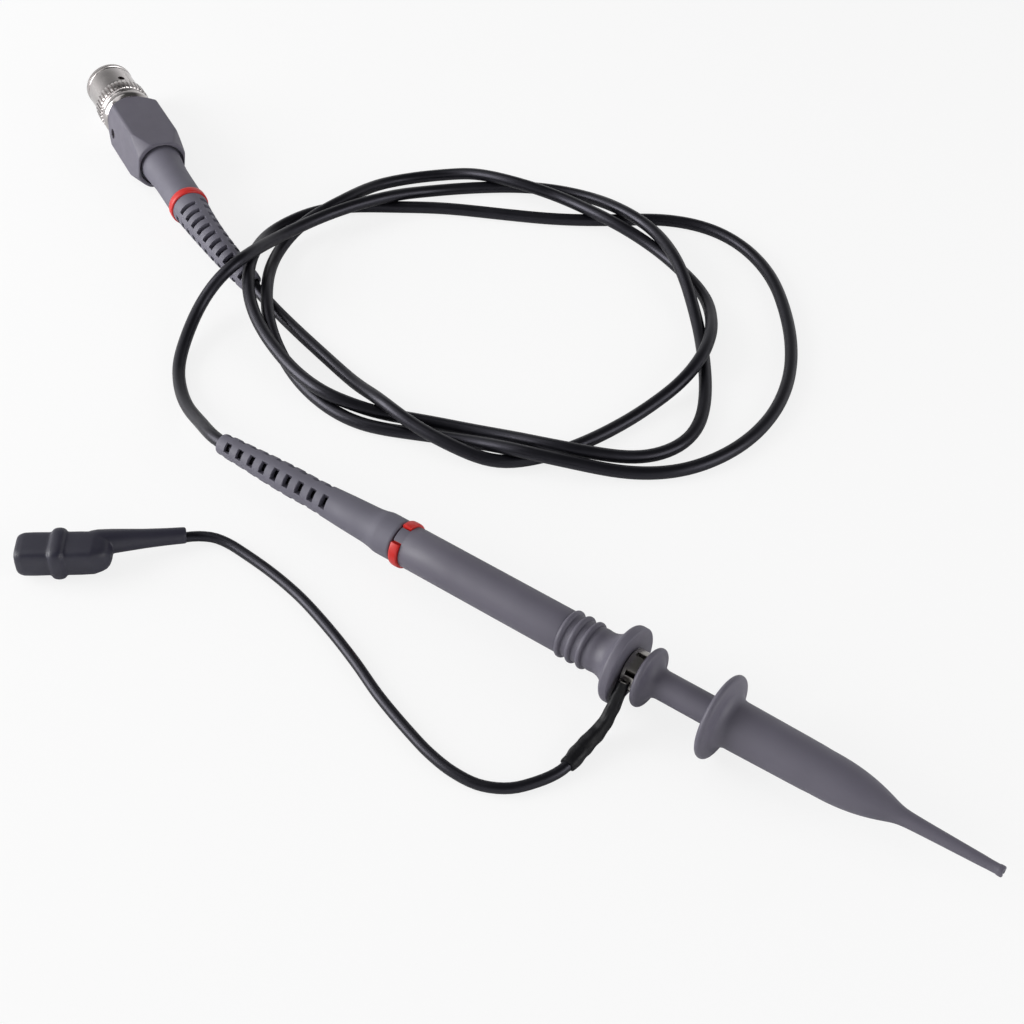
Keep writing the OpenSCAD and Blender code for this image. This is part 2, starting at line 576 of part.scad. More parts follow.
module hook_contact() brass() on_axis() difference() {
  x_rod(x_ground + 2, x_snap + 1.5, socket_r - seat_fit);
  x_rod(x_ground + 1, x_ground + needle_reach + 0.6, needle_r + slide_fit);
  x_rod(x_ground + needle_reach + 1.5, x_snap + 3, wire_r + seat_fit);
}

module hook_wire() metal() on_axis() {
  bend = hook_bend / 2;
  xb = x_tip - 0.4 - bend - wire_r;
  x_rod(x_ground + needle_reach + 1.5, xb + 0.06, wire_r);
  translate([xb, 0, -bend]) rotate([90, 0, 0]) rotate([0, 0, -90])
    rotate_extrude(angle = 180) translate([bend, 0]) circle(wire_r - 0.01);
  translate([0, 0, -hook_bend]) x_rod(xb - 1.2, xb + 0.06, wire_r);
}

module return_spring() metal() {
  h = chamber_end - x_snap - snap_w - 0.5;
  p = coil(tube_d / 2 - 0.15, h, spring_turns, 12, spring_wire);
  r = [for (q = p) spring_wire / 2];
  translate([x_snap + snap_w + 0.5, 0, axis_z]) rotate([0, 90, 0]) tube(p, r, r, 6);
}

module hook_sleeve() grey() on_axis() {
  q = flange_w / 2;
  s = sleeve_d / 2;
  f = sleeve_front_d / 2;
  n = nozzle_d / 2;
  e = nozzle_tip_d / 2;
  x = x_sleeve;
  xn = x + shoulder_len + nose_len;
  difference() {
    turned(concat(
      [[x, tube_d / 2 + slide_fit]],
      arc([x + q, flange_d / 2 - q], q, 180, 10, 10),
      arc([x + flange_w + 3, s + 2.5], 2.5, 180, 270, 8),
      [[x + 15.8, s - 0.17], [x + 23.5, s - 0.28]],
      [for (i = [0:12]) let(t = i / 12) [x + shoulder_len + nose_len * t,
        n + (f - n) * (1 - pow(t, 2.3))]],
      [[x_tip - 1.4, e], [x_tip - 1.2, e + 0.12], [x_tip - 0.2, e + 0.12], [x_tip, e - 0.05],
        [x_tip, wire_r + air], [chamber_end, wire_r + air], [chamber_end, chamber_r],
        [x + lip_len, chamber_r], [x + lip_len, tube_d / 2 + slide_fit]]));
    translate([x_tip - 3.3, -wire_r - 0.1, -3]) cube([4, 2 * wire_r + 0.2, 3]);
  }
}

// Ground lead and its clip ------------------------------------------------------

module lead_heatshrink() black() difference() {
  tube(shrink_path, shrink_a, shrink_b, 16);
  union() {
    cord(concat([tail_at + 0.9 * tail_dir], [for (i = [1:7]) shrink_path[i]],
      [shrink_path[7] + 0.4 * (shrink_path[7] - shrink_path[6])]), lead_r + 0.05);
  }
}

module ground_lead() black() cord(lead_path, lead_r);

// Outline of one half of the clip's boot, in from its skin by a small step
module half_2d(step, lobe) {
  w = clip_w / 2 - step;
  lobe_r = (w - slit - clip_lobe * tan(jaw_open + 1)) / 2;
  polygon(concat(
    arc([nose_u - 2.2 - step, w - 2.2], 2.2, 10, 90, 5),
    lobe ? arc([-clip_lobe + lobe_r, w - lobe_r], lobe_r, 90, 250, 7)
      : [[-clip_lobe + 3, w], [-clip_lobe + step, w - 2]],
    lobe ? [[0, slit + step / 4]] : [[-clip_lobe + step, slit]],
    [[nose_u - step, slit]]));
}
module half_boot(lobe) {
  translate([0, 0, -clip_h / 2]) linear_extrude(clip_h) half_2d(0.6, lobe);
  translate([0, 0, -clip_h / 2 + 0.3]) linear_extrude(clip_h - 0.6) half_2d(0.3, lobe);
  translate([0, 0, -clip_h / 2 + 0.8]) linear_extrude(clip_h - 1.6) half_2d(0, lobe);
  translate([clip_mid, slit, -clip_h / 2 - cuff_rise])
    cube([cuff_w, clip_w / 2 + cuff_rise - slit, clip_h + 2 * cuff_rise]);
}
// Room for the jaws, open at the slit and at the nose
module jaw_room(back) translate([back, -1, -clip_h / 2 + clip_wall])
  cube([nose_u - back + 1, jaw_v + 1, clip_h - 2 * clip_wall]);

module clip_boot() navy() at_clip() difference() {
  union() {
    mirror([0, 1, 0]) half_boot(false);
    rod(neck_tip, neck_root, neck_end_d / 2, neck_root_d / 2);
    rod(neck_root + [-0.8, 0.1, 0], [-0.6, -2.6, -0.2], neck_root_d / 2 - 0.15, 2.1);
  }
  mirror([0, 1, 0]) jaw_room(-6);
  rod(neck_tip - (neck_root - neck_tip) / 20, neck_root, lead_r + 0.1, lead_r + 0.1);
  translate([-30, -slit - 0.01, -6]) cube([60, 12, 12]);
}

module clip_boot_thumb() navy() at_clip() difference() {
  half_boot(true);
  jaw_room(-5);
  translate([-3.2, -1, -clip_h / 2 + clip_wall]) cube([5, 3, clip_h - 2 * clip_wall]);
}

// One stamped jaw: web, pierced ears round the pin, and a toothed lip at the nose
module jaw(z, hole) {
  v = jaw_v - 0.03;
  difference() {
    union() {
      translate([-4.4, v - jaw_sheet, -z]) cube([nose_u + 5.1, jaw_sheet, 2 * z]);
      for (s = [-1, 1]) translate([0, 0, s * (z - jaw_sheet / 2)]) {
        cylinder(h = jaw_sheet, r = 1.9, center = true);
        translate([-1.9, 0, -jaw_sheet / 2]) cube([3.8, v - 0.2, jaw_sheet]);
      }
      translate([nose_u - 3.6, slit + 0.35, -z]) cube([4.3, v - slit - 0.4, jaw_sheet]);
      translate([nose_u - 3.6, slit + 0.35, z - jaw_sheet]) cube([4.3, v - slit - 0.4, jaw_sheet]);
    }
    cylinder(h = 20, r = hole, center = true);
    for (i = [0:2]) translate([nose_u - 2.9 + 1.3 * i, slit + 0.3, 0]) rotate([0, 0, 45])
      cube([0.6, 0.6, 20], center = true);
  }
}

jaw_z = clip_h / 2 - clip_wall - air;
module clip_jaw_fixed() metal() at_clip() {
  mirror([0, 1, 0]) jaw(jaw_z, clip_pin_d / 2 + seat_fit);
  rod([-4, -jaw_v + 0.35, 0], neck_root + 0.19 * (neck_tip - neck_root), 0.3, 0.3);
}

module clip_jaw_moving() metal() at_clip() jaw(jaw_z - jaw_sheet - air, clip_pin_d / 2 + slide_fit);

module clip_pin() metal() at_clip()
  cylinder(h = 2 * jaw_z + 0.4, r = clip_pin_d / 2, center = true);

module clip_spring() metal() at_clip() {
  w = 0.4;
  h = 2 * (jaw_z - 2 * jaw_sheet - air) - 0.6;
  c = [for (p = coil(1.45, h, 3, 12, w)) [p[1], p[0], p[2] - h / 2]];
  p = concat([c[0] + [-2.6, 0, 0], c[0] + [-1.3, 0, 0]], c);
  r = [for (q = p) w / 2];
  tube(p, r, r, 6);
}

// Cable -------------------------------------------------------------------------

module probe_cable() black() cord(cable_path, cable_r);

// Plug --------------------------------------------------------------------------

module bnc_nut() metal() at_plug() difference() {
  union() {
    turned([[nut_x, nut_bore / 2], [nut_x, nut_front_d / 2 - 0.3], [nut_x + 0.3, nut_front_d / 2],
      [nut_x + 1.5, nut_front_d / 2], [nut_x + 1.7, nut_front_d / 2 - 0.35],
      [nut_x + 2.4, nut_front_d / 2 - 0.35], [nut_x + 2.6, nut_front_d / 2 - 0.1],
      [grip_x, nut_front_d / 2 - 0.1], [grip_x, nut_d / 2 - 0.7], [grip_x + 0.3, nut_d / 2 - 0.4],
      [nut_end - 0.4, nut_d / 2 - 0.4], [nut_end, nut_d / 2 - 0.8], [nut_end, neck_r + slide_fit],
      [lip_x, neck_r + slide_fit], [lip_x, nut_bore / 2]]);
    along(grip_x + 0.3, nut_grip_len - 1.9) difference() {
      polygon([for (i = [0:2 * nut_knurls - 1]) let(a = 180 * i / nut_knurls,
        r = nut_d / 2 - (i % 2) * 0.35) [r * cos(a), r * sin(a)]]);
      circle(nut_d / 2 - 0.6);
    }
  }
  // Two bayonet slots, blind from outside, and the hole at the end of each
  for (s = [86, 266]) rotate([s, 0, 0]) {
    translate([nut_x - 1, -slot_w / 2, 0]) cube([4.5, slot_w, nut_bore / 2 + 0.9]);
    for (k = [0:2]) rotate([13 + 25 * k, 0, 0])
      translate([nut_x + 3.3 + 2.3 * k, 0, 0]) rotate([0, 0, 36])
        translate([-slot_w / 2, -1.9, 0]) cube([slot_w, 3.8, nut_bore / 2 + 0.9]);
    rotate([78, 0, 0]) translate([nut_x + 9.4, 0, 0]) cylinder(h = 9, r = 1);
  }
}

module bnc_body() metal() at_plug() difference() {
  turned([[contact_x, contact_bore / 2], [contact_x, contact_d / 2], [12.2, contact_d / 2], [12.2, 4.75],
    [13, 4.75], [13, neck_r], [body_x, neck_r], [body_x, body_d / 2 - 0.5],
    [body_x + 0.5, body_d / 2], [box_x - 1, body_d / 2], [box_x, box_w / 2 + 0.1],
    [box_x, spring_bore - seat_fit], [box_x + 1.2, spring_bore - seat_fit], [box_x + 1.2, 2],
    [20, 2], [20, contact_bore / 2 - 0.15], [pin_x, contact_bore / 2 - 0.15],
    [pin_x, contact_bore / 2]]);
  for (k = [0:3]) rotate([45 + 90 * k, 0, 0]) translate([contact_x - 1, -0.25, 0])
    cube([6, 0.5, 8]);
}

module bnc_insulator() white() at_plug() difference() {
  x_rod(pin_x, 20, contact_bore / 2 - 0.15 - seat_fit);
  x_rod(7, 21, pin_barrel_r + seat_fit);
}

module bnc_pin() brass() at_plug() {
  x_rod(pin_x - 3.4, pin_x + 0.1, pin_d / 2);
  x_rod(pin_x, box_x + 2.2, pin_barrel_r);
  translate([pin_x - 4, 0, 0]) rotate([0, 90, 0]) cylinder(h = 0.6, r1 = 0.35, r2 = pin_d / 2);
}

module bnc_gasket() black() at_plug() along(11.4, 0.8) ring2d(4.65, contact_d / 2 + seat_fit);

module bnc_washer() metal() at_plug() along(13, 0.85) ring2d(4.7, neck_r + seat_fit);

module box_2d(w, r) {
  square([w - 2 * r, w], center = true);
  square([w, w - 2 * r], center = true);
  for (y = [-1, 1], z = [-1, 1]) translate([y * (w / 2 - r), z * (w / 2 - r)]) circle(r);
}

module at_box() at_plug() rotate([-box_roll, 0, 0]) children();

module comp_box() grey() at_box() difference() {
  intersection() {
    along(box_x, box_len) box_2d(box_w, box_edge);
    turned([[box_x, 0], [box_x, box_w / 2], [box_x + chamfer_len, box_w / 2 + 2.6],
      [box_end - taper_len, box_w / 2 + 2.6], [box_end, rear_rim_d / 2], [box_end, 0]]);
  }
  x_rod(box_x - 1, box_x + 2, spring_bore);
  intersection() {
    along(box_x + 1, box_len - 5.2) box_2d(box_w - 2 * box_wall, 0.6);
    x_rod(box_x, box_end, 7.6);
  }
  x_rod(boot_x, box_end + 1, rear_bore / 2);
  translate([box_x + trim_x, 0, trim_z]) rotate([90, 0, 0])
    cylinder(h = box_w, r = trim_hole_d / 2);
}

board_y = -box_w / 2 + box_wall + 0.7 + 2.3;
module comp_board() color([0.1, 0.35, 0.2]) at_box() difference() {
  translate([box_x + 1.4, board_y, -5.1]) cube([box_len - 9.5, board_t, 10.2]);
  x_rod(box_x, box_x + 4, 2.2);
}

module trimmer_body() color([0.85, 0.8, 0.65]) at_box()
  translate([box_x + trim_x, board_y, trim_z]) rotate([90, 0, 0]) difference() {
    cylinder(h = 2.3, r = 2.1);
    translate([0, 0, 0.5]) cylinder(h = 3, r = 0.85);
    translate([0, 0, 1.3]) cylinder(h = 3, r = 1.35);
  }

module trimmer_screw() brass() at_box()
  translate([box_x + trim_x, board_y, trim_z]) rotate([90, 0, 0]) difference() {
    union() {
      translate([0, 0, 0.8]) cylinder(h = 1, r = 0.85 - slide_fit);
      translate([0, 0, 1.35]) cylinder(h = 0.9, r = 1.35 - slide_fit);
    }
    translate([-3, -0.25, 1.75]) cube([6, 0.5, 2]);
  }

// A round bar along the bend, from its start through an angle
module tail_turn(a, r) on_bend(0) translate([0, bend_r, 0]) rotate([0, 0, -90])
  rotate_extrude(angle = a) translate([bend_r, 0]) circle(r);
module cable_boot() grey() at_plug() difference() {
  union() {
    turned([[boot_x + 0.02, 0], [boot_x + 0.02, rear_bore / 2 - seat_fit],
      [boot_x + 2.5, rear_bore / 2 - seat_fit], [boot_x + 2.5, neck_d / 2 + 0.8],
      [box_end + 1.5, neck_d / 2 + 0.75], [box_end + 4.5, neck_d / 2 + 0.4],
      [box_end + 9, neck_d / 2 + 0.06], [ring_x, neck_d / 2], [ring_x, neck_d / 2 - 0.4],
      [ring_x + plug_ring_w, neck_d / 2 - 0.4], [ring_x + plug_ring_w, tail_d / 2 + 0.1],
      [bend_x, tail_d / 2], [bend_x, 0]]);
    // The soft tail steps down along its bend, once in the middle of each rib
    for (i = [0:tail_windows]) tail_turn(
      i < tail_windows ? (tail_start + tail_window_len / 2 + i * tail_pitch) / bend_len * bend_a : bend_a,
      tail_end_d / 2 + (tail_d - tail_end_d) / 2 * (0.2 + 0.77 * pow(1 - i / tail_windows, 1.4)));
  }
  x_rod(boot_x - 1, bend_x, cable_r + 0.5);
  tail_turn(bend_a + 1, cable_r + 0.4);
  for (r = [0:3], i = [0:tail_windows - 1])
    on_bend((tail_start + (i + ((r + 1) % 2) / 2) * tail_pitch) / bend_r * 180 / PI)
      window(117 + 90 * r - bend_turn, tail_window_len, tail_span);
}

module connector_ring() red() at_plug() turned([[ring_x, neck_d / 2 - 0.4 + seat_fit],
  [ring_x, plug_ring_d / 2 - 0.3], [ring_x + 0.3, plug_ring_d / 2],
  [ring_x + plug_ring_w - 0.3, plug_ring_d / 2],
  [ring_x + plug_ring_w, plug_ring_d / 2 - 0.3], [ring_x + plug_ring_w, neck_d / 2 - 0.4 + seat_fit]]);

probe_body();
rear_boot();
marker_ring();
ground_barrel();
tip_insulator();
probe_needle();
input_resistor();
cable_ferrule();
ground_collar();
hook_tube();
hook_contact();
hook_wire();
return_spring();
hook_sleeve();
lead_heatshrink();
ground_lead();
clip_boot();
clip_boot_thumb();
clip_jaw_fixed();
clip_jaw_moving();
clip_pin();
clip_spring();
probe_cable();
bnc_nut();
bnc_body();
bnc_insulator();
bnc_pin();
bnc_gasket();
bnc_washer();
comp_box();
comp_board();
trimmer_body();
trimmer_screw();
cable_boot();
connector_ring();
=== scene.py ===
"""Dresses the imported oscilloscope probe: head, hook tip, ground lead with clip, cable, plug."""

import math

import bmesh
import bpy
import numpy as np
from mathutils import Matrix, Vector


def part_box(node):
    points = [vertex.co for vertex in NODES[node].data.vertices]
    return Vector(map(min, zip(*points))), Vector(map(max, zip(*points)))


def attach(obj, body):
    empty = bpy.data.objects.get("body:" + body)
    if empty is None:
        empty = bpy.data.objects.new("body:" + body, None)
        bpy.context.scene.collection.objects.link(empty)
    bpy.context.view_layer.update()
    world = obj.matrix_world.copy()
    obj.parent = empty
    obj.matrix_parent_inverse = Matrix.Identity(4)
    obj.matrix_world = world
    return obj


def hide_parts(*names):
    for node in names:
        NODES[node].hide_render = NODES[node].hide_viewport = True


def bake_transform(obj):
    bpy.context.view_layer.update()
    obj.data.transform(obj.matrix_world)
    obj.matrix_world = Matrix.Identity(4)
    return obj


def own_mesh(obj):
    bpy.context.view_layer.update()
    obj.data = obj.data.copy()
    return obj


bl_info = {
    "name": "Oscilloscope Probe",
    "version": (1, 0, 0),
    "blender": (4, 5, 0),
    "location": "3D View > Sidebar > Probe",
    "description": "Makes the finished surfaces of an oscilloscope probe around its solid model",
    "category": "Object",
}

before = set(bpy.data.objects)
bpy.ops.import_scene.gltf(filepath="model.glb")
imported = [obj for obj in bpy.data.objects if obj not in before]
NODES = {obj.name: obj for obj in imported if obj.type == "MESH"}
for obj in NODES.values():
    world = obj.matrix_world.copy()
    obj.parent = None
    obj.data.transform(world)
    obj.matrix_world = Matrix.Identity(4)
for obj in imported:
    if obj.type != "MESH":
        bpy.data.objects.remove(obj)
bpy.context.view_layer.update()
MM = 0.001

# The head runs along X. The place of its rear end and the height of its axis come from the solids.
X_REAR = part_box("rear_boot")[0][0]
AXIS_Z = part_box("hook_sleeve")[1][2] / 2

# The plug's frame: x runs from its mouth to the cable, y is level, z is up.
PLUG_AT = np.array([-0.256, 0.1054, (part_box("bnc_body")[0][2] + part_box("bnc_body")[1][2]) / 2])
PLUG_TURN = math.radians(-26.4)
# The compensation box is rolled about the plug's axis until its corner lies on the bench.
BOX_ROLL = math.radians(-9)
# The clip's frame: x runs from its hinge to its nose, y to the thumb side, z is up.
CLIP_AT = np.array([-0.1125, -0.0453, 0.0042])
CLIP_TURN = math.radians(218)
# How far the ridge round the clip's boot stands out, in millimetres.
RIDGE = 0.92
# The bend of the plug's strain relief: where it starts, its radius, its angle and its tilt.
BEND_X = 0.08
BEND_RADIUS = 0.092562
BEND_ANGLE = 0.38893
BEND_TILT = math.atan2(-4.9, 5)


# ---- Sizes and colours a user may change -------------------------------------------------


def length(name, description, mm):
    """A length property whose default is given in millimetres."""
    return bpy.props.FloatProperty(
        name=name, description=description, default=mm * MM, unit="LENGTH", precision=5
    )


def colour(name, description, code):
    """A colour property whose default is an sRGB hex value."""
    return bpy.props.FloatVectorProperty(
        name=name, description=description, default=linear(code), subtype="COLOR", size=3,
        min=0, max=1,
    )


def linear(code):
    """An sRGB hex value as linear red, green and blue: ((c + 0.055) / 1.055) ** 2.4."""
    parts = (int(code[i : i + 2], 16) / 255 for i in (1, 3, 5))
    return tuple(c / 12.92 if c <= 0.04045 else ((c + 0.055) / 1.055) ** 2.4 for c in parts)


class ProbeHeadSizes(bpy.types.PropertyGroup):
    """Sizes of the probe head and its hook tip."""

    boot_end_d: length("Boot end", "Strain relief's diameter at the cable", 5.4)
    boot_front_d: length("Boot front", "Strain relief's diameter behind its collar", 9.2)
    barrel_d: length("Barrel", "Diameter of the barrel", 10.5)
    rib_rise: length("Rib height", "Height of a grip rib", 0.6)
    guard_d: length("Finger guard", "Diameter of the finger guard", 19)
    disc_d: length("Disc", "Diameter of the disc on the hook tube", 14.5)
    tube_d: length("Hook tube", "Diameter of the hook tube", 6.9)
    flange_d: length("Thumb flange", "Diameter of the sleeve's thumb flange", 20.3)
    sleeve_d: length("Sleeve", "Diameter of the sleeve behind its flange", 11.3)


class ProbeCordSizes(bpy.types.PropertyGroup):
    """Sizes of the cable, the ground lead and its clip."""

    cable_d: length("Cable", "Diameter of the coaxial cable", 3.5)
    lead_d: length("Ground lead", "Diameter of the ground lead", 2.6)
    clip_w: length("Clip width", "Width of the clip's boot", 9.3)
    clip_h: length("Clip height", "Height of the clip's boot", 7.9)


class ProbePlugSizes(bpy.types.PropertyGroup):
    """Sizes of the plug and its compensation box."""

    nut_d: length("Nut grip", "Diameter of the coupling nut's knurled grip", 16.2)
    nut_front_d: length("Nut barrel", "Diameter of the coupling nut in front of its grip", 14.8)
    flange_d: length("Flange", "Diameter of the flange between nut and box", 16)
    box_w: length("Box", "Width across the flats of the compensation box", 14.6)
    neck_d: length("Neck", "Diameter of the cable boot at its marker ring", 10.6)
    ring_d: length("Marker ring", "Diameter of the marker ring at the plug", 11.5)
    tail_end_d: length("Tail", "Diameter of the cable boot at the cable", 5.8)


class ProbeColours(bpy.types.PropertyGroup):
    """Colours of the visible finishes."""

    housing: colour("Housing", "Moulded housings", "#625f6b")
    boots: colour("Boots", "Soft strain reliefs", "#676571")
    marker: colour("Marker", "Colour marker rings", "#c9221e")
    jacket: colour("Jacket", "Cable and lead", "#0b0b0f")
    shrink: colour("Heat-shrink", "Sleeve on the lead", "#0e0e12")
    clip: colour("Clip boot", "Soft boot of the clip", "#292836")
    nickel: colour("Nickel", "Plated metal", "#cac5c4")


# ---- Making meshes -----------------------------------------------------------------------


def new_object(name, data, body, finish, replaced):
    """Links a mesh or curve as a piece that rides on a body, if one is given.

    It has its finish and that finish's slot, and stands for the solids of these nodes."""
    piece = bpy.data.objects.new(name, data)
    bpy.context.scene.collection.objects.link(piece)
    data.materials.append(finishes()[finish])
    if body:
        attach(piece, body)
    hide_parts(*replaced)
    return piece


def made(name, points, faces, body, finish, replaced, crease=38):
    """A piece with a mesh of these points and faces."""
    return new_object(name, mesh_from(name, points, faces, crease), body, finish, replaced)


def smoothed(mesh, crease):
    """The mesh shaded smooth, but sharp along edges that turn by more than the crease angle."""
    mesh.polygons.foreach_set("use_smooth", [True] * len(mesh.polygons))
    mesh.set_sharp_from_angle(angle=math.radians(crease))
    return mesh


def mesh_from(name, points, faces, crease):
    """A mesh of these points and faces, its normals outward, smooth below the crease angle."""
    mesh = bpy.data.meshes.new(name)
    mesh.from_pydata(points.tolist(), [], [list(f) for f in faces])
    tidy = bmesh.new()
    tidy.from_mesh(mesh)
    bmesh.ops.recalc_face_normals(tidy, faces=tidy.faces)
    tidy.to_mesh(mesh)
    tidy.free()
    return smoothed(mesh, crease)


def grid_faces(rows, columns, close_rows=False):
    """Quads of a grid of points that closes round its columns, and along its rows if asked."""
    i, j = np.meshgrid(np.arange(rows if close_rows else rows - 1), np.arange(columns),
                       indexing="ij")
    k, m = (i + 1) % rows, (j + 1) % columns
    quads = np.stack([i * columns + j, i * columns + m, k * columns + m, k * columns + j], -1)
    return quads.reshape(-1, 4).tolist()


def shell(outer, inner, opened=None):
    """Points and faces of a wall between two grids of points (station, angle), cut where opened.

    Closed cells get an outer and an inner quad. An edge between a closed cell and an open one,
    or the rim of the grid, gets a quad from the outer grid to the inner one."""
    rows, columns = outer.shape[:2]
    closed = np.ones((rows - 1, columns), bool) if opened is None else ~opened
    index = np.arange(rows * columns).reshape(rows, columns)
    step = np.roll(index, -1, 1)
    cell = np.stack([index[:-1], step[:-1], step[1:], index[1:]], -1)[closed]
    inside = cell[:, ::-1] + rows * columns
    edge = np.zeros((rows, columns), bool)
    edge[0], edge[-1] = closed[0], closed[-1]
    edge[1:-1] = closed[:-1] ^ closed[1:]
    across = np.stack([index, step, step + rows * columns, index + rows * columns], -1)[edge]
    side = closed ^ np.roll(closed, 1, 1)
    along = np.stack([index[:-1], index[1:], index[1:] + rows * columns,
                      index[:-1] + rows * columns], -1)[side]
    points = np.concatenate([outer.reshape(-1, 3), inner.reshape(-1, 3)])
    faces = np.concatenate([cell, inside, across, along])
    return points, faces.tolist()


def joined(*parts):
    """Several (points, faces) as one."""
    points, faces, base = [], [], 0
    for p, f in parts:
        points.append(p)
        faces += [[v + base for v in face] for face in f]
        base += len(p)
    return np.concatenate(points), faces


def turned_grid(x, radius, angle):
    """Points at station x, distance radius from the X axis and angle from +Y towards +Z."""
    x, radius, angle = np.broadcast_arrays(x, radius, angle)
    return np.stack([x, radius * np.cos(angle), radius * np.sin(angle)], -1)


def around(count):
    """Evenly spaced angles of one turn."""
    return np.linspace(0, 2 * np.pi, count, endpoint=False)[None, :]


def column(*values):
    """Numbers as the rows of a single column, to spread against a row of angles."""
    return np.array(values)[:, None]


def turned_wall(x, radius, bore, angle, opened=None):
    """The wall between two surfaces turned over the same stations, cut where opened."""
    return shell(turned_grid(x, radius, angle), turned_grid(x, bore, angle), opened)


def lathe(outline, count=96):
    """Points and faces of a closed outline of (x, radius) turned about the X axis."""
    outline = np.array(outline)
    points = turned_grid(outline[:, :1], outline[:, 1:], around(count))
    return points.reshape(-1, 3), grid_faces(len(outline), count, close_rows=True)


def capped(rings):
    """A closed tube: rings of points with a face over each end."""
    rows, columns = rings.shape[:2]
    faces = grid_faces(rows, columns)
    faces += [list(range(columns))[::-1], list(range((rows - 1) * columns, rows * columns))]
    return rings.reshape(-1, 3), faces


def arc(centre, radius, start, end, count):
    """Points (x, r) of an arc: centre plus radius times the cosine and sine, in degrees."""
    a = np.radians(np.linspace(start, end, count + 1))
    return np.stack([centre[0] + radius * np.cos(a), centre[1] + radius * np.sin(a)], -1).tolist()


def on_head(points):
    """Millimetres from the head's rear end and its axis, as metres in the part's frame."""
    return points * MM + np.array([X_REAR, 0, AXIS_Z])


def turn_z(points, angle):
    """Points turned about Z."""
    c, s = math.cos(angle), math.sin(angle)
    return points @ np.array([[c, s, 0], [-s, c, 0], [0, 0, 1]])


def on_plug(points):
    """Millimetres in the plug's frame, as metres in the part's frame."""
    return turn_z(points * MM, PLUG_TURN) + PLUG_AT


def on_box(points):
    """Millimetres in the compensation box's frame, as metres in the part's frame."""
    c, s = math.cos(BOX_ROLL), math.sin(BOX_ROLL)
    return on_plug(points @ np.array([[1, 0, 0], [0, c, s], [0, -s, c]]))


def on_clip(points):
    """Millimetres in the clip's frame, as metres in the part's frame."""
    return turn_z(points * MM, CLIP_TURN) + CLIP_AT


def bent(points):
    """Millimetres in the plug's frame, bent along the strain relief's arc.

    Past the bend's start, the distance along the axis becomes an angle on a circle, and the
    distance towards its centre comes off its radius."""
    start, radius = BEND_X / MM, BEND_RADIUS / MM
    c, s = math.cos(BEND_TILT), math.sin(BEND_TILT)
    x, y, z = points[..., 0], points[..., 1], points[..., 2]
    inward, upward = y * c + z * s, z * c - y * s
    a = np.maximum(x - start, 0) / radius
    reach = radius - inward
    bx = np.where(x > start, start + reach * np.sin(a), x)
    by = np.where(x > start, radius - reach * np.cos(a), inward)
    return np.stack([bx, by * c - upward * s, by * s + upward * c], -1)


def smooth_step(value):
    """3 v squared - 2 v cubed, held between 0 and 1."""
    v = np.clip(value, 0, 1)
    return v * v * (3 - 2 * v)


def resampled(path, spacing):
    """The path as a smooth run through its points (centripetal Catmull-Rom), evenly spaced."""
    p = np.asarray(path, float)
    p = np.concatenate([[2 * p[0] - p[1]], p, [2 * p[-1] - p[-2]]])
    out = []
    for a, b, c, d in zip(p[:-3], p[1:-2], p[2:-1], p[3:]):
        t = np.linspace(0, 1, 9)[:-1, None]
        k = [0.0]
        for q, r in ((a, b), (b, c), (c, d)):
            k.append(k[-1] + max(np.linalg.norm(r - q), 1e-9) ** 0.5)
        u = k[1] + (k[2] - k[1]) * t
        ab = ((k[1] - u) * a + (u - k[0]) * b) / (k[1] - k[0])
        bc = ((k[2] - u) * b + (u - k[1]) * c) / (k[2] - k[1])
        cd = ((k[3] - u) * c + (u - k[2]) * d) / (k[3] - k[2])
        abc = ((k[2] - u) * ab + (u - k[0]) * bc) / (k[2] - k[0])
        bcd = ((k[3] - u) * bc + (u - k[1]) * cd) / (k[3] - k[1])
        out.append(((k[2] - u) * abc + (u - k[1]) * bcd) / (k[2] - k[1]))
    line = np.concatenate(out + [p[-2:-1]])
    run = np.concatenate([[0], np.cumsum(np.linalg.norm(np.diff(line, axis=0), axis=1))])
    at = np.linspace(0, run[-1], max(2, round(run[-1] / spacing)) + 1)
    return np.stack([np.interp(at, run, line[:, k]) for k in range(3)], -1)


def eased(path, spread):
    """The path averaged over this many neighbours (Gaussian), its ends kept in place."""
    reach = int(3 * spread)
    weight = np.exp(-0.5 * (np.arange(-reach, reach + 1) / spread) ** 2)
    held = np.concatenate([2 * path[:1] - path[reach:0:-1], path,
                           2 * path[-1:] - path[-2 : -reach - 2 : -1]])
    return np.stack([np.convolve(column, weight / weight.sum(), "valid") for column in held.T], -1)


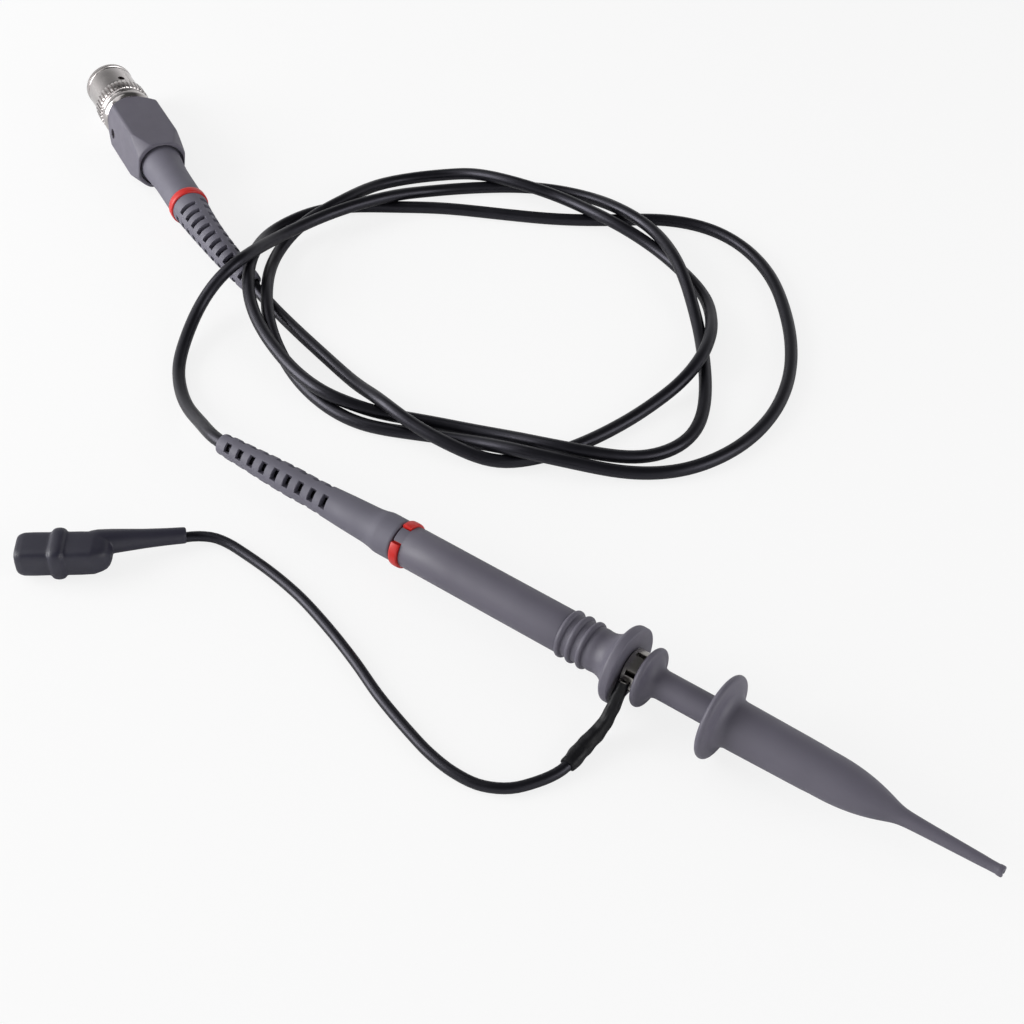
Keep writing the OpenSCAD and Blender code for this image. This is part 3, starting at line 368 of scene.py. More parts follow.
def laid(path, thick, eye, held):
    """The path of a stiff cord that crosses itself on the bench, thick being its radii.

    It lies on the bench but for its held stretches. Where two stretches cross, the one that is
    higher on the given path is lifted over the other in a long smooth hump. Each point slides
    along its line to the eye, so the view of it stays. Samples nearer along the path than
    apart_from are never compared."""
    apart_from, hump_spread, turns, easing_turn, room = 12, 5.0, 60, 45, 1.02
    flat = eased(eye + (path - eye) * (eye[2] / (eye[2] - path[:, 2:])), 2.5)
    first, low, count = path[:, 2], thick.min(), len(path)
    i, j = np.triu_indices(count, apart_from)
    near = np.linalg.norm((flat[i] - flat[j])[:, :2], axis=1) < thick[i] + thick[j] + 6 * low
    i, j = i[near], j[near]
    above = first[i] > first[j]
    top, under = np.where(above, i, j), np.where(above, j, i)
    steps = np.subtract.outer(np.arange(count), np.arange(count))
    hump = np.exp(-0.5 * (steps / hump_spread) ** 2)
    z = low + (first - low) * np.minimum(2 * eased(held[:, None] * 1.0, hump_spread)[:, 0], 1)
    for turn in range(turns):
        z[held] = first[held]
        placed = eye + (flat - eye) * ((eye[2] - z) / eye[2])[:, None]
        apart = np.linalg.norm((placed[top] - placed[under])[:, :2], axis=1)
        need = np.sqrt(np.maximum((room * (thick[top] + thick[under])) ** 2 - apart ** 2, 0))
        rise = np.zeros(count)
        np.maximum.at(rise, top, np.where(need > 0, need + z[under] - z[top], 0))
        z = z + 0.7 * (hump * rise).max(1)
        if turn == easing_turn:
            z = np.maximum(eased(z[:, None], 2.0)[:, 0], low)
    z[held] = first[held]
    return eye + (flat - eye) * ((eye[2] - z) / eye[2])[:, None]


def path_length(path):
    """Sum of the distances between neighbouring points."""
    return float(np.linalg.norm(np.diff(path, axis=0), axis=1).sum())


def swept(path, wide, tall, angle):
    """Grid of points round a path: level and upright half widths times cosine and sine."""
    t = np.gradient(path, axis=0)
    t /= np.linalg.norm(t, axis=1, keepdims=True)
    side = np.cross(t, [0, 0, 1])
    side /= np.linalg.norm(side, axis=1, keepdims=True)
    up = np.cross(side, t)
    wide, tall = np.broadcast_to(wide, len(path)), np.broadcast_to(tall, len(path))
    return (path[:, None] + (wide[:, None] * np.cos(angle))[..., None] * side[:, None]
            + (tall[:, None] * np.sin(angle))[..., None] * up[:, None])


def cord_curve(name, path, diameter):
    """A curve of one open smooth spline through the path, with a round bevel."""
    curve = bpy.data.curves.new(name, "CURVE")
    curve.dimensions = "3D"
    curve.bevel_depth = diameter / 2
    curve.bevel_resolution = 6
    curve.resolution_u = 1
    curve.use_fill_caps = True
    spline = curve.splines.new("POLY")
    spline.points.add(len(path) - 1)
    spline.points.foreach_set("co", np.c_[path, np.ones(len(path))].ravel())
    spline.use_smooth = True
    return curve


def copy_of(node):
    """The CAD node's mesh with its loose triangles joined, shaded smooth between its edges."""
    mesh = NODES[node].data.copy()
    mesh.materials.clear()
    tidy = bmesh.new()
    tidy.from_mesh(mesh)
    bmesh.ops.remove_doubles(tidy, verts=tidy.verts, dist=0.002 * MM)
    tidy.to_mesh(mesh)
    tidy.free()
    return smoothed(mesh, 32)


def rounded(piece, width):
    """A small Bevel on a piece's sharp edges, as a mould or a tool leaves them."""
    bevel = piece.modifiers.new("Edges", "BEVEL")
    bevel.width = width
    bevel.segments = 2
    bevel.limit_method = "ANGLE"
    bevel.angle_limit = math.radians(40)
    bevel.harden_normals = True


# ---- Materials ---------------------------------------------------------------------------


def add(tree, kind, settings=None, **links):
    """Adds a node, sets its attributes and sockets, and links sockets by name."""
    node = tree.nodes.new(kind)
    for key, value in (settings or {}).items():
        if isinstance(key, str) and hasattr(node, key):
            setattr(node, key, value)
        else:
            node.inputs[key].default_value = value
    for key, source in links.items():
        name = int(key[1:]) if key[0] == "i" and key[1:].isdigit() else key.replace("_", " ")
        tree.links.new(source, node.inputs[name])
    return node


def started(name, **fixed):
    """A new material's tree, its shader with these sockets set, and its Object coordinates."""
    material = bpy.data.materials.new(name)
    material.use_nodes = True
    tree = material.node_tree
    tree.nodes.clear()
    sockets = {key.replace("_", " "): value for key, value in fixed.items()}
    shader = add(tree, "ShaderNodeBsdfPrincipled", sockets)
    add(tree, "ShaderNodeOutputMaterial", Surface=shader.outputs["BSDF"])
    return tree, shader, add(tree, "ShaderNodeTexCoord").outputs["Object"]


def noise(tree, size, detail, place, **settings):
    """Noise between 0 and 1 over patches of this size in metres."""
    return add(tree, "ShaderNodeTexNoise", {"Scale": 1 / size, "Detail": detail, **settings},
               Vector=place).outputs["Fac"]


def two_tone(tree, factor, rgb, low, high):
    """A colour that goes from its darker form to its lighter one with a factor."""
    colours = {6: (*tinted(rgb, low), 1), 7: (*tinted(rgb, high), 1)}
    return add(tree, "ShaderNodeMix", {"data_type": "RGBA", **colours},
               Factor=factor).outputs[2]


def drifting(name, rgb, shade, polish, detail=2.0, **fixed):
    """A started material whose colour and roughness drift over patches.

    shade is the patches' size in metres and the colour's factors, polish the size and the
    roughness, from lowest to highest."""
    tree, shader, place = started(name, **fixed)
    size, low, high = shade
    tint = two_tone(tree, noise(tree, size, 3.0, place, Roughness=0.55), rgb, low, high)
    tree.links.new(tint, shader.inputs["Base Color"])
    size, low, high = polish
    rough = add(tree, "ShaderNodeMapRange",
                {"From Min": 0.3, "From Max": 0.7, "To Min": low, "To Max": high},
                Value=noise(tree, size, detail, place))
    tree.links.new(rough.outputs["Result"], shader.inputs["Roughness"])
    return tree, shader, place


def grained(tree, shader, height, depth, strength=1.0):
    """Bump from a height between 0 and 1 that stands for this depth in metres."""
    bump = add(tree, "ShaderNodeBump", {"Strength": strength, "Distance": depth}, Height=height)
    tree.links.new(bump.outputs["Normal"], shader.inputs["Normal"])


def tinted(rgb, factor):
    """A colour made lighter or darker."""
    return tuple(min(1.0, c * factor) for c in rgb)


def moulded(name, rgb, grain, depth, rough, ior=1.5):
    """Spark-eroded moulded plastic: an even fine grain, slight drifts of shade and polish."""
    tree, shader, place = drifting(name, rgb, (9 * MM, 0.9, 1.08),
                                   (5 * MM, rough - 0.05, rough + 0.06), IOR=ior)
    grained(tree, shader, noise(tree, grain, 4.0, place), depth, 0.6)


def plated(name, rgb, rough, haze):
    """Nickel, steel or gilt brass: mirror-like with a faint haze and fine marks."""
    tree, shader, place = drifting(name, rgb, (4 * MM, 0.9, 1.0),
                                   (haze, rough - 0.05, rough + 0.08), 3.0, Metallic=1.0)
    grained(tree, shader, noise(tree, 0.5 * MM, 2.0, place), 0.006 * MM, 0.5)


def jacket(name, rgb, rough, ripple):
    """Satin PVC or rubber, with the shallow ripples that an extruded jacket keeps."""
    tree, shader, place = drifting(name, rgb, (14 * MM, 0.85, 1.25),
                                   (7 * MM, rough - 0.05, rough + 0.07), IOR=1.5,
                                   Specular_Tint=(0.86, 0.84, 1, 1))
    grained(tree, shader, noise(tree, ripple, 3.0, place), 0.05 * MM, 0.5)


def shrunk(name, rgb):
    """Heat-shrunk polyolefin: dull black, puckered lengthwise where it was drawn down."""
    tree, shader, place = drifting(name, rgb, (5 * MM, 0.8, 1.4), (3 * MM, 0.42, 0.58),
                                   IOR=1.5, Specular_IOR_Level=0.3)
    stretched = add(tree, "ShaderNodeMapping", {"Scale": (1.0, 0.35, 0.35)}, Vector=place)
    pucker = noise(tree, 0.9 * MM, 3.0, stretched.outputs["Vector"])
    grained(tree, shader, pucker, 0.16 * MM, 0.8)


def laminate(name, rgb):
    """Solder-masked glass laminate: green with a fine square weave under the lacquer."""
    tree, shader, place = started(name, IOR=1.5, Roughness=0.3)
    weave = add(tree, "ShaderNodeTexChecker", {"Scale": 1 / (0.5 * MM)},
                Vector=place).outputs["Fac"]
    tree.links.new(two_tone(tree, weave, rgb, 0.85, 1.1), shader.inputs["Base Color"])
    grained(tree, shader, weave, 0.01 * MM)


def finishes():
    """All finishes of the object, made once and kept by name."""
    known = bpy.data.materials
    if "Housing ABS" in known:
        return known
    c = bpy.context.scene.probe_colours
    moulded("Housing ABS", tuple(c.housing), 0.32 * MM, 0.03 * MM, 0.5)
    moulded("Strain relief TPE", tuple(c.boots), 0.4 * MM, 0.03 * MM, 0.58)
    moulded("Marker ring PVC", tuple(c.marker), 0.5 * MM, 0.012 * MM, 0.38)
    moulded("Clip boot vinyl", tuple(c.clip), 0.6 * MM, 0.03 * MM, 0.44)
    moulded("Insulator PTFE", linear("#efeee9"), 0.5 * MM, 0.01 * MM, 0.4, 1.38)
    moulded("Trimmer ceramic", linear("#e2d9bf"), 0.3 * MM, 0.01 * MM, 0.45)
    moulded("Resistor lacquer", linear("#7fa7bf"), 0.6 * MM, 0.01 * MM, 0.3)
    plated("Plated nickel", tuple(c.nickel), 0.16, 3 * MM)
    # A darker, rougher copy of the plated nickel. Its darker colour is painted shade for the ground
    # collar, which sits between the guard and the disc. The clip's jaws share it.
    plated("Rough nickel with painted shade", linear("#b3b0ac"), 0.3, 2 * MM)
    plated("Spring steel", linear("#b9b9bb"), 0.3, 2 * MM)
    plated("Gilt brass", linear("#cfa860"), 0.25, 2 * MM)
    jacket("Cable PVC", tuple(c.jacket), 0.36, 5 * MM)
    jacket("Gasket rubber", linear("#1d1d1f"), 0.6, 3 * MM)
    shrunk("Heat-shrink", tuple(c.shrink))
    laminate("Board laminate", linear("#1d6a3c"))
    return known


# The finish of each node that keeps its solid's own surface.
KEPT_NODES = {
    "ground_barrel": "Plated nickel", "tip_insulator": "Insulator PTFE",
    "probe_needle": "Spring steel", "input_resistor": "Resistor lacquer",
    "cable_ferrule": "Plated nickel", "hook_contact": "Gilt brass", "hook_wire": "Spring steel",
    "clip_pin": "Spring steel", "bnc_insulator": "Insulator PTFE", "bnc_pin": "Gilt brass",
    "bnc_gasket": "Gasket rubber", "bnc_washer": "Spring steel", "comp_board": "Board laminate",
    "trimmer_body": "Trimmer ceramic", "trimmer_screw": "Gilt brass",
}


# ---- The cable's and the lead's routes ---------------------------------------------------

# The cable's loose loops in millimetres, from the head's strain relief to the plug's.
LOOPS = [
    [-111.5, 0.5, 9.6], [-117, 4, 7.5], [-124, 7, 5], [-131, 10.5, 3], [-138, 15.5, 1.9],
    [-145, 22, 1.75], [-149, 29, 3], [-151, 36, 7.25], [-151.5, 43, 11.25], [-152, 51, 13],
    [-152, 61, 13], [-151.5, 70, 12.25], [-151, 78, 11.25], [-150, 85, 10.75],
    [-147.5, 94, 10.25], [-146, 102, 8.75], [-144.75, 109, 6.9], [-142.75, 115.5, 5.6],
    [-141, 122, 3.25], [-137, 129.25, 1.8], [-128, 137.5, 1.75], [-118, 145, 1.75],
    [-108, 149.75, 1.75], [-101, 150.5, 2.5], [-94, 149.5, 4.25], [-87, 147.5, 6],
    [-79.5, 146.5, 6.25], [-72.5, 144.5, 6.25], [-65.5, 141, 6.25], [-59, 136.5, 6.1],
    [-52.5, 131, 5.5], [-47, 126, 3.5], [-41, 120, 1.9], [-36, 114, 1.75], [-30, 106, 1.75],
    [-24, 97, 1.75], [-19, 87, 1.75], [-17.5, 78, 1.75], [-20, 70, 2.1], [-23.5, 63.5, 3.5],
    [-28.5, 58.75, 5.1], [-35.5, 55, 6], [-43, 52, 6], [-51, 50.5, 4.9], [-59, 49.25, 3.1],
    [-67, 47.5, 1.9], [-77, 44, 1.75], [-86.5, 40, 1.75], [-90.5, 37, 3.1], [-93.5, 34.75, 5.6],
    [-99, 33, 6.1], [-106, 33.5, 6.1], [-114, 35, 6.1], [-122, 38, 6.1], [-131, 41.5, 7],
    [-139, 46, 8.6], [-145, 51, 9.5], [-151, 58, 9.1], [-155.5, 64, 8], [-159.5, 71, 5.75],
    [-163.5, 79, 3.25], [-164.25, 88, 1.9], [-161, 98.5, 1.75], [-154, 106, 1.75],
    [-144, 113, 1.75], [-132, 121.25, 1.75], [-116, 129.25, 1.75], [-101, 137, 1.75],
    [-88, 146, 1.75], [-76, 155.5, 1.75], [-63, 160, 1.75], [-50, 158.5, 1.75],
    [-36, 151, 1.75], [-25, 140, 1.75], [-16.5, 129, 1.75], [-9, 115, 1.75], [-5, 99, 1.75],
    [-6, 83, 1.75], [-12, 69, 1.75], [-18, 62.5, 2], [-24, 57, 3.25], [-31, 52.75, 4.75],
    [-38, 49.25, 5.8], [-45, 46.5, 6.1], [-51, 45.25, 5.6], [-57, 44.75, 3.9], [-64, 44, 1.9],
    [-71, 41, 1.75], [-80, 36.75, 1.75], [-89, 33, 1.75], [-98, 32.5, 1.75], [-107, 34, 1.75],
    [-116, 37, 1.75], [-124, 41, 1.9], [-131, 45, 3.1], [-136.5, 49, 5.25], [-141.5, 54.5, 7],
    [-146, 60, 6.6], [-151, 67, 5.4], [-155, 76, 4.75], [-156.5, 84, 5.4], [-156, 92, 6.1],
    [-154.5, 99, 6.25], [-153.5, 107, 5.9], [-152.75, 115, 4.75], [-151, 123, 2.75],
    [-146.5, 131, 1.75], [-140, 136.5, 2.1], [-132.5, 137.25, 5.25], [-124, 138.75, 6.1],
    [-114, 140.5, 6.25], [-104.5, 141.5, 6.25], [-96.5, 141.75, 6], [-88.5, 141.25, 6],
    [-81.5, 141.5, 5.25], [-74, 142.5, 2.8], [-66, 141.25, 1.75], [-58, 138, 1.75],
    [-50.5, 134.25, 2.1], [-44.25, 129.5, 3.2], [-39.25, 123.5, 4.6], [-34.75, 117, 5.75],
    [-31.5, 109.5, 6.1], [-30, 102.5, 5.6], [-30.75, 96, 2.9], [-32.5, 87, 1.75],
    [-34, 77.5, 1.75], [-36, 70, 1.75], [-39, 61, 1.75], [-43, 53, 1.75], [-47.5, 47, 1.75],
    [-51.5, 42.5, 1.8], [-56, 39.25, 3.75], [-62, 37.25, 5.9], [-70, 36.5, 6.5], [-78, 37, 6.9],
    [-85, 38.5, 6.9], [-91.5, 40.5, 5.9], [-98, 43, 3], [-107, 46, 1.75], [-116, 48.5, 1.75],
    [-126, 51.25, 1.75], [-136, 54.25, 1.8], [-143, 56.25, 2.25],
]


def cable_route():
    """From the ferrule through the head's strain relief, round the loops, and up the bend of
    the plug's strain relief to the board, in millimetres."""
    x, z = X_REAR / MM, AXIS_Z / MM
    start = [[x + 48 + 2.2, 0, z], [x + 20, 0, z], [x - 0.2, 0, z]]
    station = BEND_X / MM + BEND_RADIUS / MM * BEND_ANGLE * np.linspace(1, 0, 7)
    tail = bent(np.stack([station, 0 * station, 0 * station], -1))
    end = np.array([[64.0, 0, 0], [45.0, 0, 0]])
    return np.concatenate([start, LOOPS, on_plug(np.concatenate([tail, end])) / MM])


def tail_start():
    """Where the lead's tail leaves the ground collar, and the way it heads."""
    return np.array([18.3, -5.9, AXIS_Z / MM + 1.45]), np.array([0, -0.6, -0.8])


SHRINK_BENDS = [[18.2, -10.8, 5.5], [18, -13.2, 3.5], [17.7, -16.5, 2.6], [17.4, -20, 2.2],
                [17.3, -22.8, 1.9], [17.2, -25.2, 1.75]]
LEAD_SWEEP = [[16.5, -28, 1.5], [14.5, -32, 1.32], [10.6, -37.2, 1.32], [4.9, -40.4, 1.32],
              [-1.9, -41.1, 1.32], [-9, -40.2, 1.32], [-15.8, -38.4, 1.32],
              [-28, -34.4, 1.32], [-39.1, -29.8, 1.32], [-50.1, -25.8, 1.32],
              [-61, -22.5, 1.32], [-67.5, -21.1, 1.32], [-74.1, -20.1, 1.32],
              [-82, -19.4, 1.32], [-88.5, -19.3, 1.5], [-92.3, -20.2, 1.8]]
NECK_ROOT = np.array([-4.3, -2.9, 0.6])
NECK_TIP = np.array([-24.92, -7.31, -2.0])


def lead_route():
    """From the collar's crimp under the heat-shrink and along the bench into the clip's neck."""
    at, way = tail_start()
    neck = on_clip(np.stack([NECK_TIP + 0.12 * (NECK_TIP - NECK_ROOT), NECK_TIP,
                             NECK_ROOT + 0.22 * (NECK_TIP - NECK_ROOT)])) / MM
    return np.concatenate([[at + 3.9 * way, at + 4.6 * way], SHRINK_BENDS, LEAD_SWEEP, neck])


# ---- Pieces --------------------------------------------------------------------------------


def strain_relief_wall(profile, bore, windows, rows, x_end, count=96):
    """Wall of a strain relief as a shell with four rows of windows cut through it.

    profile is (station, radius) points, windows the first window's station, pitch, length, number
    and half angle, rows the angles of the rows, every second one set half a pitch on."""
    first, pitch, long, number, half = windows
    starts = first + pitch * np.arange(number)
    edges = np.concatenate([starts, starts + long, starts + pitch / 2, starts + long + pitch / 2])
    plain = np.array([p[0] for p in profile])
    fill = np.linspace(plain[0], plain[-1], int((plain[-1] - plain[0]) / 0.8))
    keep = [f for f in fill if np.abs(edges - f).min() > 0.25 and np.abs(plain - f).min() > 0.1]
    x = np.unique(np.round(np.concatenate([edges[edges < x_end], plain, keep]), 4))
    turn = 2 * np.pi
    sides = np.concatenate([(np.array(rows) - half) % turn, (np.array(rows) + half) % turn])
    even = np.linspace(0, turn, count, endpoint=False)
    spare = [e for e in even if np.abs((sides - e + np.pi) % turn - np.pi).min() > 0.03]
    angle = np.sort(np.concatenate([sides, spare]))
    xm = (x[:-1] + x[1:]) / 2
    am = angle + ((np.roll(angle, -1) - angle) % turn) / 2
    opened = np.zeros((len(xm), len(angle)), bool)
    for k, row in enumerate(rows):
        near = np.abs((am - row + np.pi) % turn - np.pi) < half
        phase = (xm - first - (k % 2) * pitch / 2) / pitch
        cut = (phase >= 0) & (phase < number) & ((phase % 1) * pitch < long)
        opened |= cut[:, None] & near[None, :]
    radius = np.interp(x, plain, [p[1] for p in profile])
    inside = np.minimum(np.interp(x, [b[0] for b in bore], [b[1] for b in bore]), radius - 0.15)
    return turned_wall(x[:, None], radius[:, None], inside[:, None], angle, opened)


class PROBE_OT_stage(bpy.types.Operator):
    """Pale bench, soft lights and the camera"""

    bl_idname = "probe.stage"
    bl_label = "Stage"

    def execute(self, context):
        scene = context.scene
        camera = bpy.data.cameras.new("Camera")
        camera.lens = 63.2
        camera.sensor_width = 36
        camera.clip_start = 0.01
        eye = bpy.data.objects.new("Camera", camera)
        right, forward = Vector((0.8043, 0.5943, 0)), Vector((-0.4202, 0.5687, -0.7071))
        up = right.cross(forward)
        turn = Matrix((right, up, -forward)).transposed().to_4x4()
        eye.matrix_world = Matrix.Translation((0.1487, -0.2234, 0.3173)) @ turn
        scene.collection.objects.link(eye)
        scene.camera = eye
        self.floor(scene)
        for name, at, aim, size, power in (
            ("Softbox over", (-0.5, -0.05, 0.55), (-0.15, 0.04, 0), 0.5, 0.8),
            ("Softbox left", (-0.75, -0.45, 0.3), (-0.05, 0.02, 0), 0.6, 7.2),
            ("Softbox right", (0.7, 0.15, 0.3), (0.0, 0.0, 0), 0.5, 2.2),
        ):
            lamp = bpy.data.lights.new(name, "AREA")
            lamp.size = size
            lamp.energy = power
            light = bpy.data.objects.new(name, lamp)
            way = Vector(aim) - Vector(at)
            turn = way.to_track_quat("-Z", "Y").to_matrix().to_4x4()
            light.matrix_world = Matrix.Translation(at) @ turn
            scene.collection.objects.link(light)
        world = bpy.data.worlds.new("Studio")
        scene.world = world
        world.use_nodes = True
        tree = world.node_tree
        tree.nodes.clear()
        path = add(tree, "ShaderNodeLightPath")
        seen = add(tree, "ShaderNodeMath", {"operation": "MAXIMUM"},
                   i0=path.outputs["Is Camera Ray"], i1=path.outputs["Is Transmission Ray"])
        height = add(tree, "ShaderNodeSeparateXYZ",
                     Vector=add(tree, "ShaderNodeTexCoord").outputs["Generated"])
        fall = add(tree, "ShaderNodeMapRange", {"From Max": 0.7, "To Min": 1.1, "To Max": 0.16},
                   Value=height.outputs["Z"])
        shown = add(tree, "ShaderNodeMath", {"operation": "MULTIPLY_ADD", 1: -0.09},
                    i0=path.outputs["Is Glossy Ray"], i2=fall.outputs["Result"])
        level = add(tree, "ShaderNodeMath", {"operation": "MAXIMUM"},
                    i0=seen.outputs[0], i1=shown.outputs[0])
        sky = add(tree, "ShaderNodeBackground", {"Color": (1, 1, 1, 1)},
                  Strength=level.outputs[0])
        add(tree, "ShaderNodeOutputWorld", Surface=sky.outputs[0])
        scene.view_settings.view_transform = "Standard"
        return {"FINISHED"}

    def floor(self, scene):
        """A plain bench that renders white but keeps the object's soft shadow."""
        mesh = bpy.data.meshes.new("Bench")
        wide = 3.0
        mesh.from_pydata([(-wide, -wide, 0), (wide, -wide, 0), (wide, wide, 0), (-wide, wide, 0)],
                         [], [(0, 1, 2, 3)])
        bench = bpy.data.objects.new("Bench", mesh)
        scene.collection.objects.link(bench)
        material = bpy.data.materials.new("Bench")
        material.use_nodes = True
        tree = material.node_tree
        tree.nodes.clear()
        paint = add(tree, "ShaderNodeBsdfDiffuse", {"Color": (0.92, 0.92, 0.92, 1)})
        glow = add(tree, "ShaderNodeEmission", {"Color": (1, 1, 1, 1), "Strength": 1.0})
        path = add(tree, "ShaderNodeLightPath")
        seen = add(tree, "ShaderNodeMath", {"operation": "MULTIPLY", 1: 0.82},
                   i0=path.outputs["Is Camera Ray"])
        mixed = add(tree, "ShaderNodeMixShader", i0=seen.outputs[0], i1=paint.outputs[0],
                    i2=glow.outputs[0])
        add(tree, "ShaderNodeOutputMaterial", Surface=mixed.outputs[0])
        mesh.materials.append(material)


class PROBE_OT_cable(bpy.types.Operator):
    """The coaxial cable in its loose loops"""

    bl_idname = "probe.cable"
    bl_label = "Cable"

    def execute(self, context):
        d = context.scene.probe_cords.cable_d
        path = resampled(cable_route(), 2.0) * MM
        run = np.arange(len(path)) * path_length(path) / (len(path) - 1)
        left = (run[-1] - run) / MM
        in_head, in_plug = 95, 71  # what the head and the plug's strain relief hold, in mm
        held = (run < in_head * MM) | (left < in_plug)
        thick = np.where(left < in_plug, np.interp(left, [15, in_plug], [5.3, 2.9]) * MM, d / 2)
        path = laid(path, thick, np.array(context.scene.camera.location), held)
        piece = new_object("cable", cord_curve("cable", path, d), "probe", "Cable PVC",
                           ["probe_cable"])
        return {"FINISHED"}


class PROBE_OT_lead(bpy.types.Operator):
    """The ground lead"""

    bl_idname = "probe.lead"
    bl_label = "Ground lead"

    def execute(self, context):
        d = context.scene.probe_cords.lead_d
        path = resampled(lead_route(), 1.5) * MM
        piece = new_object("lead", cord_curve("lead", path, d), "probe", "Cable PVC",
                           ["ground_lead"])
        return {"FINISHED"}


class PROBE_OT_head(bpy.types.Operator):
    """Strain relief, marker ring and housing of the probe head"""

    bl_idname = "probe.head"
    bl_label = "Probe head"

    def execute(self, context):
        s = context.scene.probe_head
        self.strain_relief(s)
        self.marker(s)
        self.housing(s)
        return {"FINISHED"}

    def strain_relief(self, s):
        """Soft taper in millimetres from the cable to its collar, with its four rows."""
        e, f, b = s.boot_end_d / 2 / MM, s.boot_front_d / 2 / MM, s.barrel_d / 2 / MM
        profile = [(0, e - 0.25), (0.12, e - 0.08), (0.4, e + 0.02), (3.6, e + 0.28),
                   (7.1, e + 0.38), (10.7, e + 0.55), (14.2, e + 0.77), (17.7, e + 0.9),
                   (21, e + 1.03), (24.6, e + 1.1), (27.5, e + 1.08), (30.4, e + 1.06),
                   (32.5, e + 1.14), (34.7, e + 1.27), (38, e + 1.45), (41.4, f - 0.27),
                   (45, f - 0.12), (48, f), (49.6, f + 0.12), (50.8, f + 0.3),
                   (51.8, f + 0.52), (52.5, b), (53, b + 0.05), (57.35, b + 0.05),
                   (57.65, b - 0.08), (57.8, b - 0.3)]
        bore = [(0, 2.05), (46.7, 2.05), (46.71, 2.7), (48, 2.7), (48.01, 4.02), (57.8, 4.02)]
        rows = np.radians([45, 135, 225, 315])
        points, faces = strain_relief_wall(profile, bore, (1.0, 4.0, 1.8, 9, math.radians(26)),
                                           rows, 40)
        piece = made("head_strain_relief", on_head(points), faces, "probe", "Strain relief TPE",
                     ["rear_boot"])
        rounded(piece, 0.16 * MM)

    def marker(self, s):
        """Ring whose radius steps up, smoothly, over two lobes of 132 degrees."""
        top, lobe_half, ramp = s.barrel_d / 2 / MM + 0.6, 66, 2.6
        x = column(58.2, 58.22, 58.32, 58.5, 58.75, 59.1, 59.4, 59.7, 60.05, 60.3, 60.48, 60.58,
                   60.6)
        crown = column(-0.42, -0.24, -0.1, -0.03, 0, 0.02, 0.03, 0.02, 0, -0.03, -0.1, -0.24,
                       -0.42)
        angle = around(180)
        off = np.degrees(np.abs((angle - math.radians(21) + np.pi / 2) % np.pi - np.pi / 2))
        lobe = smooth_step((lobe_half - off) / ramp)
        points, faces = turned_wall(x, 4.5 + (top - 4.5 + crown) * lobe, 4.02, angle)
        made("head_marker_ring", on_head(points), faces, "probe", "Marker ring PVC",
             ["marker_ring"])

    def housing(self, s):
        """Barrel, grip ribs and flared guard turned in one outline, and the two teeth."""
        b, g = s.barrel_d / 2 / MM, s.guard_d / 2 / MM
        rise = s.rib_rise / MM
        flare, rim, waist = 4.8, 1.1, b - 0.1
        lean = math.degrees(math.acos(1 - (g - waist) / (flare + rim)))
        x_flare = 115.8
        x_rim = x_flare + (flare + rim) * math.sin(math.radians(lean))
        outline = [(48, 3.22), (48, 3.9), (48.1, 4), (60.66, 4), (60.66, b - 0.25),
                   (60.74, b - 0.08), (60.91, b), (75, b), (90, b), (105.6, b), (105.88, b - 0.04)]
        for k in range(3):
            x = 105.95 + 2.9 * k
            half = np.linspace(math.pi, 0, 11)
            outline += np.stack([x + 0.75 + 0.75 * np.cos(half),
                                 b - 0.06 + (rise + 0.06) * np.sin(half)], -1).tolist()
            outline += [(x + 1.75, b - 0.1), (x + 2.2, b - 0.11), (x + 2.65, b - 0.1)]
        outline += [(114.2, b - 0.02), (114.7, b), (115.2, b - 0.04)]
        outline += arc((x_flare, waist + flare), flare, 270, 270 + lean, 14)
        outline += arc((x_rim, g - rim), rim, 90 + lean, 90, 7)[1:]
        outline += arc((x_rim + 0.1 + rim, g - 0.4), 0.4, 90, 2, 6)
        outline += [(x_rim + 0.5 + rim, g - rim - 0.2), (x_rim + 0.5 + rim, 2.52),
                    (104, 2.52), (104, 3.22)]
        count, gap_half = 96, 68.5
        angle = around(count)
        mid = np.degrees(angle + math.pi / count)
        gap = np.abs((mid - 21 + 90) % 180 - 90) < gap_half
        teeth = turned_wall(column(58.3, 58.45, 61.5), column(b - 0.2, b, b), 4.55, angle,
                            np.repeat(gap, 2, 0))
        points, faces = joined(lathe(outline, 128), teeth)
        made("head_housing", on_head(points), faces, "probe", "Housing ABS", ["probe_body"])


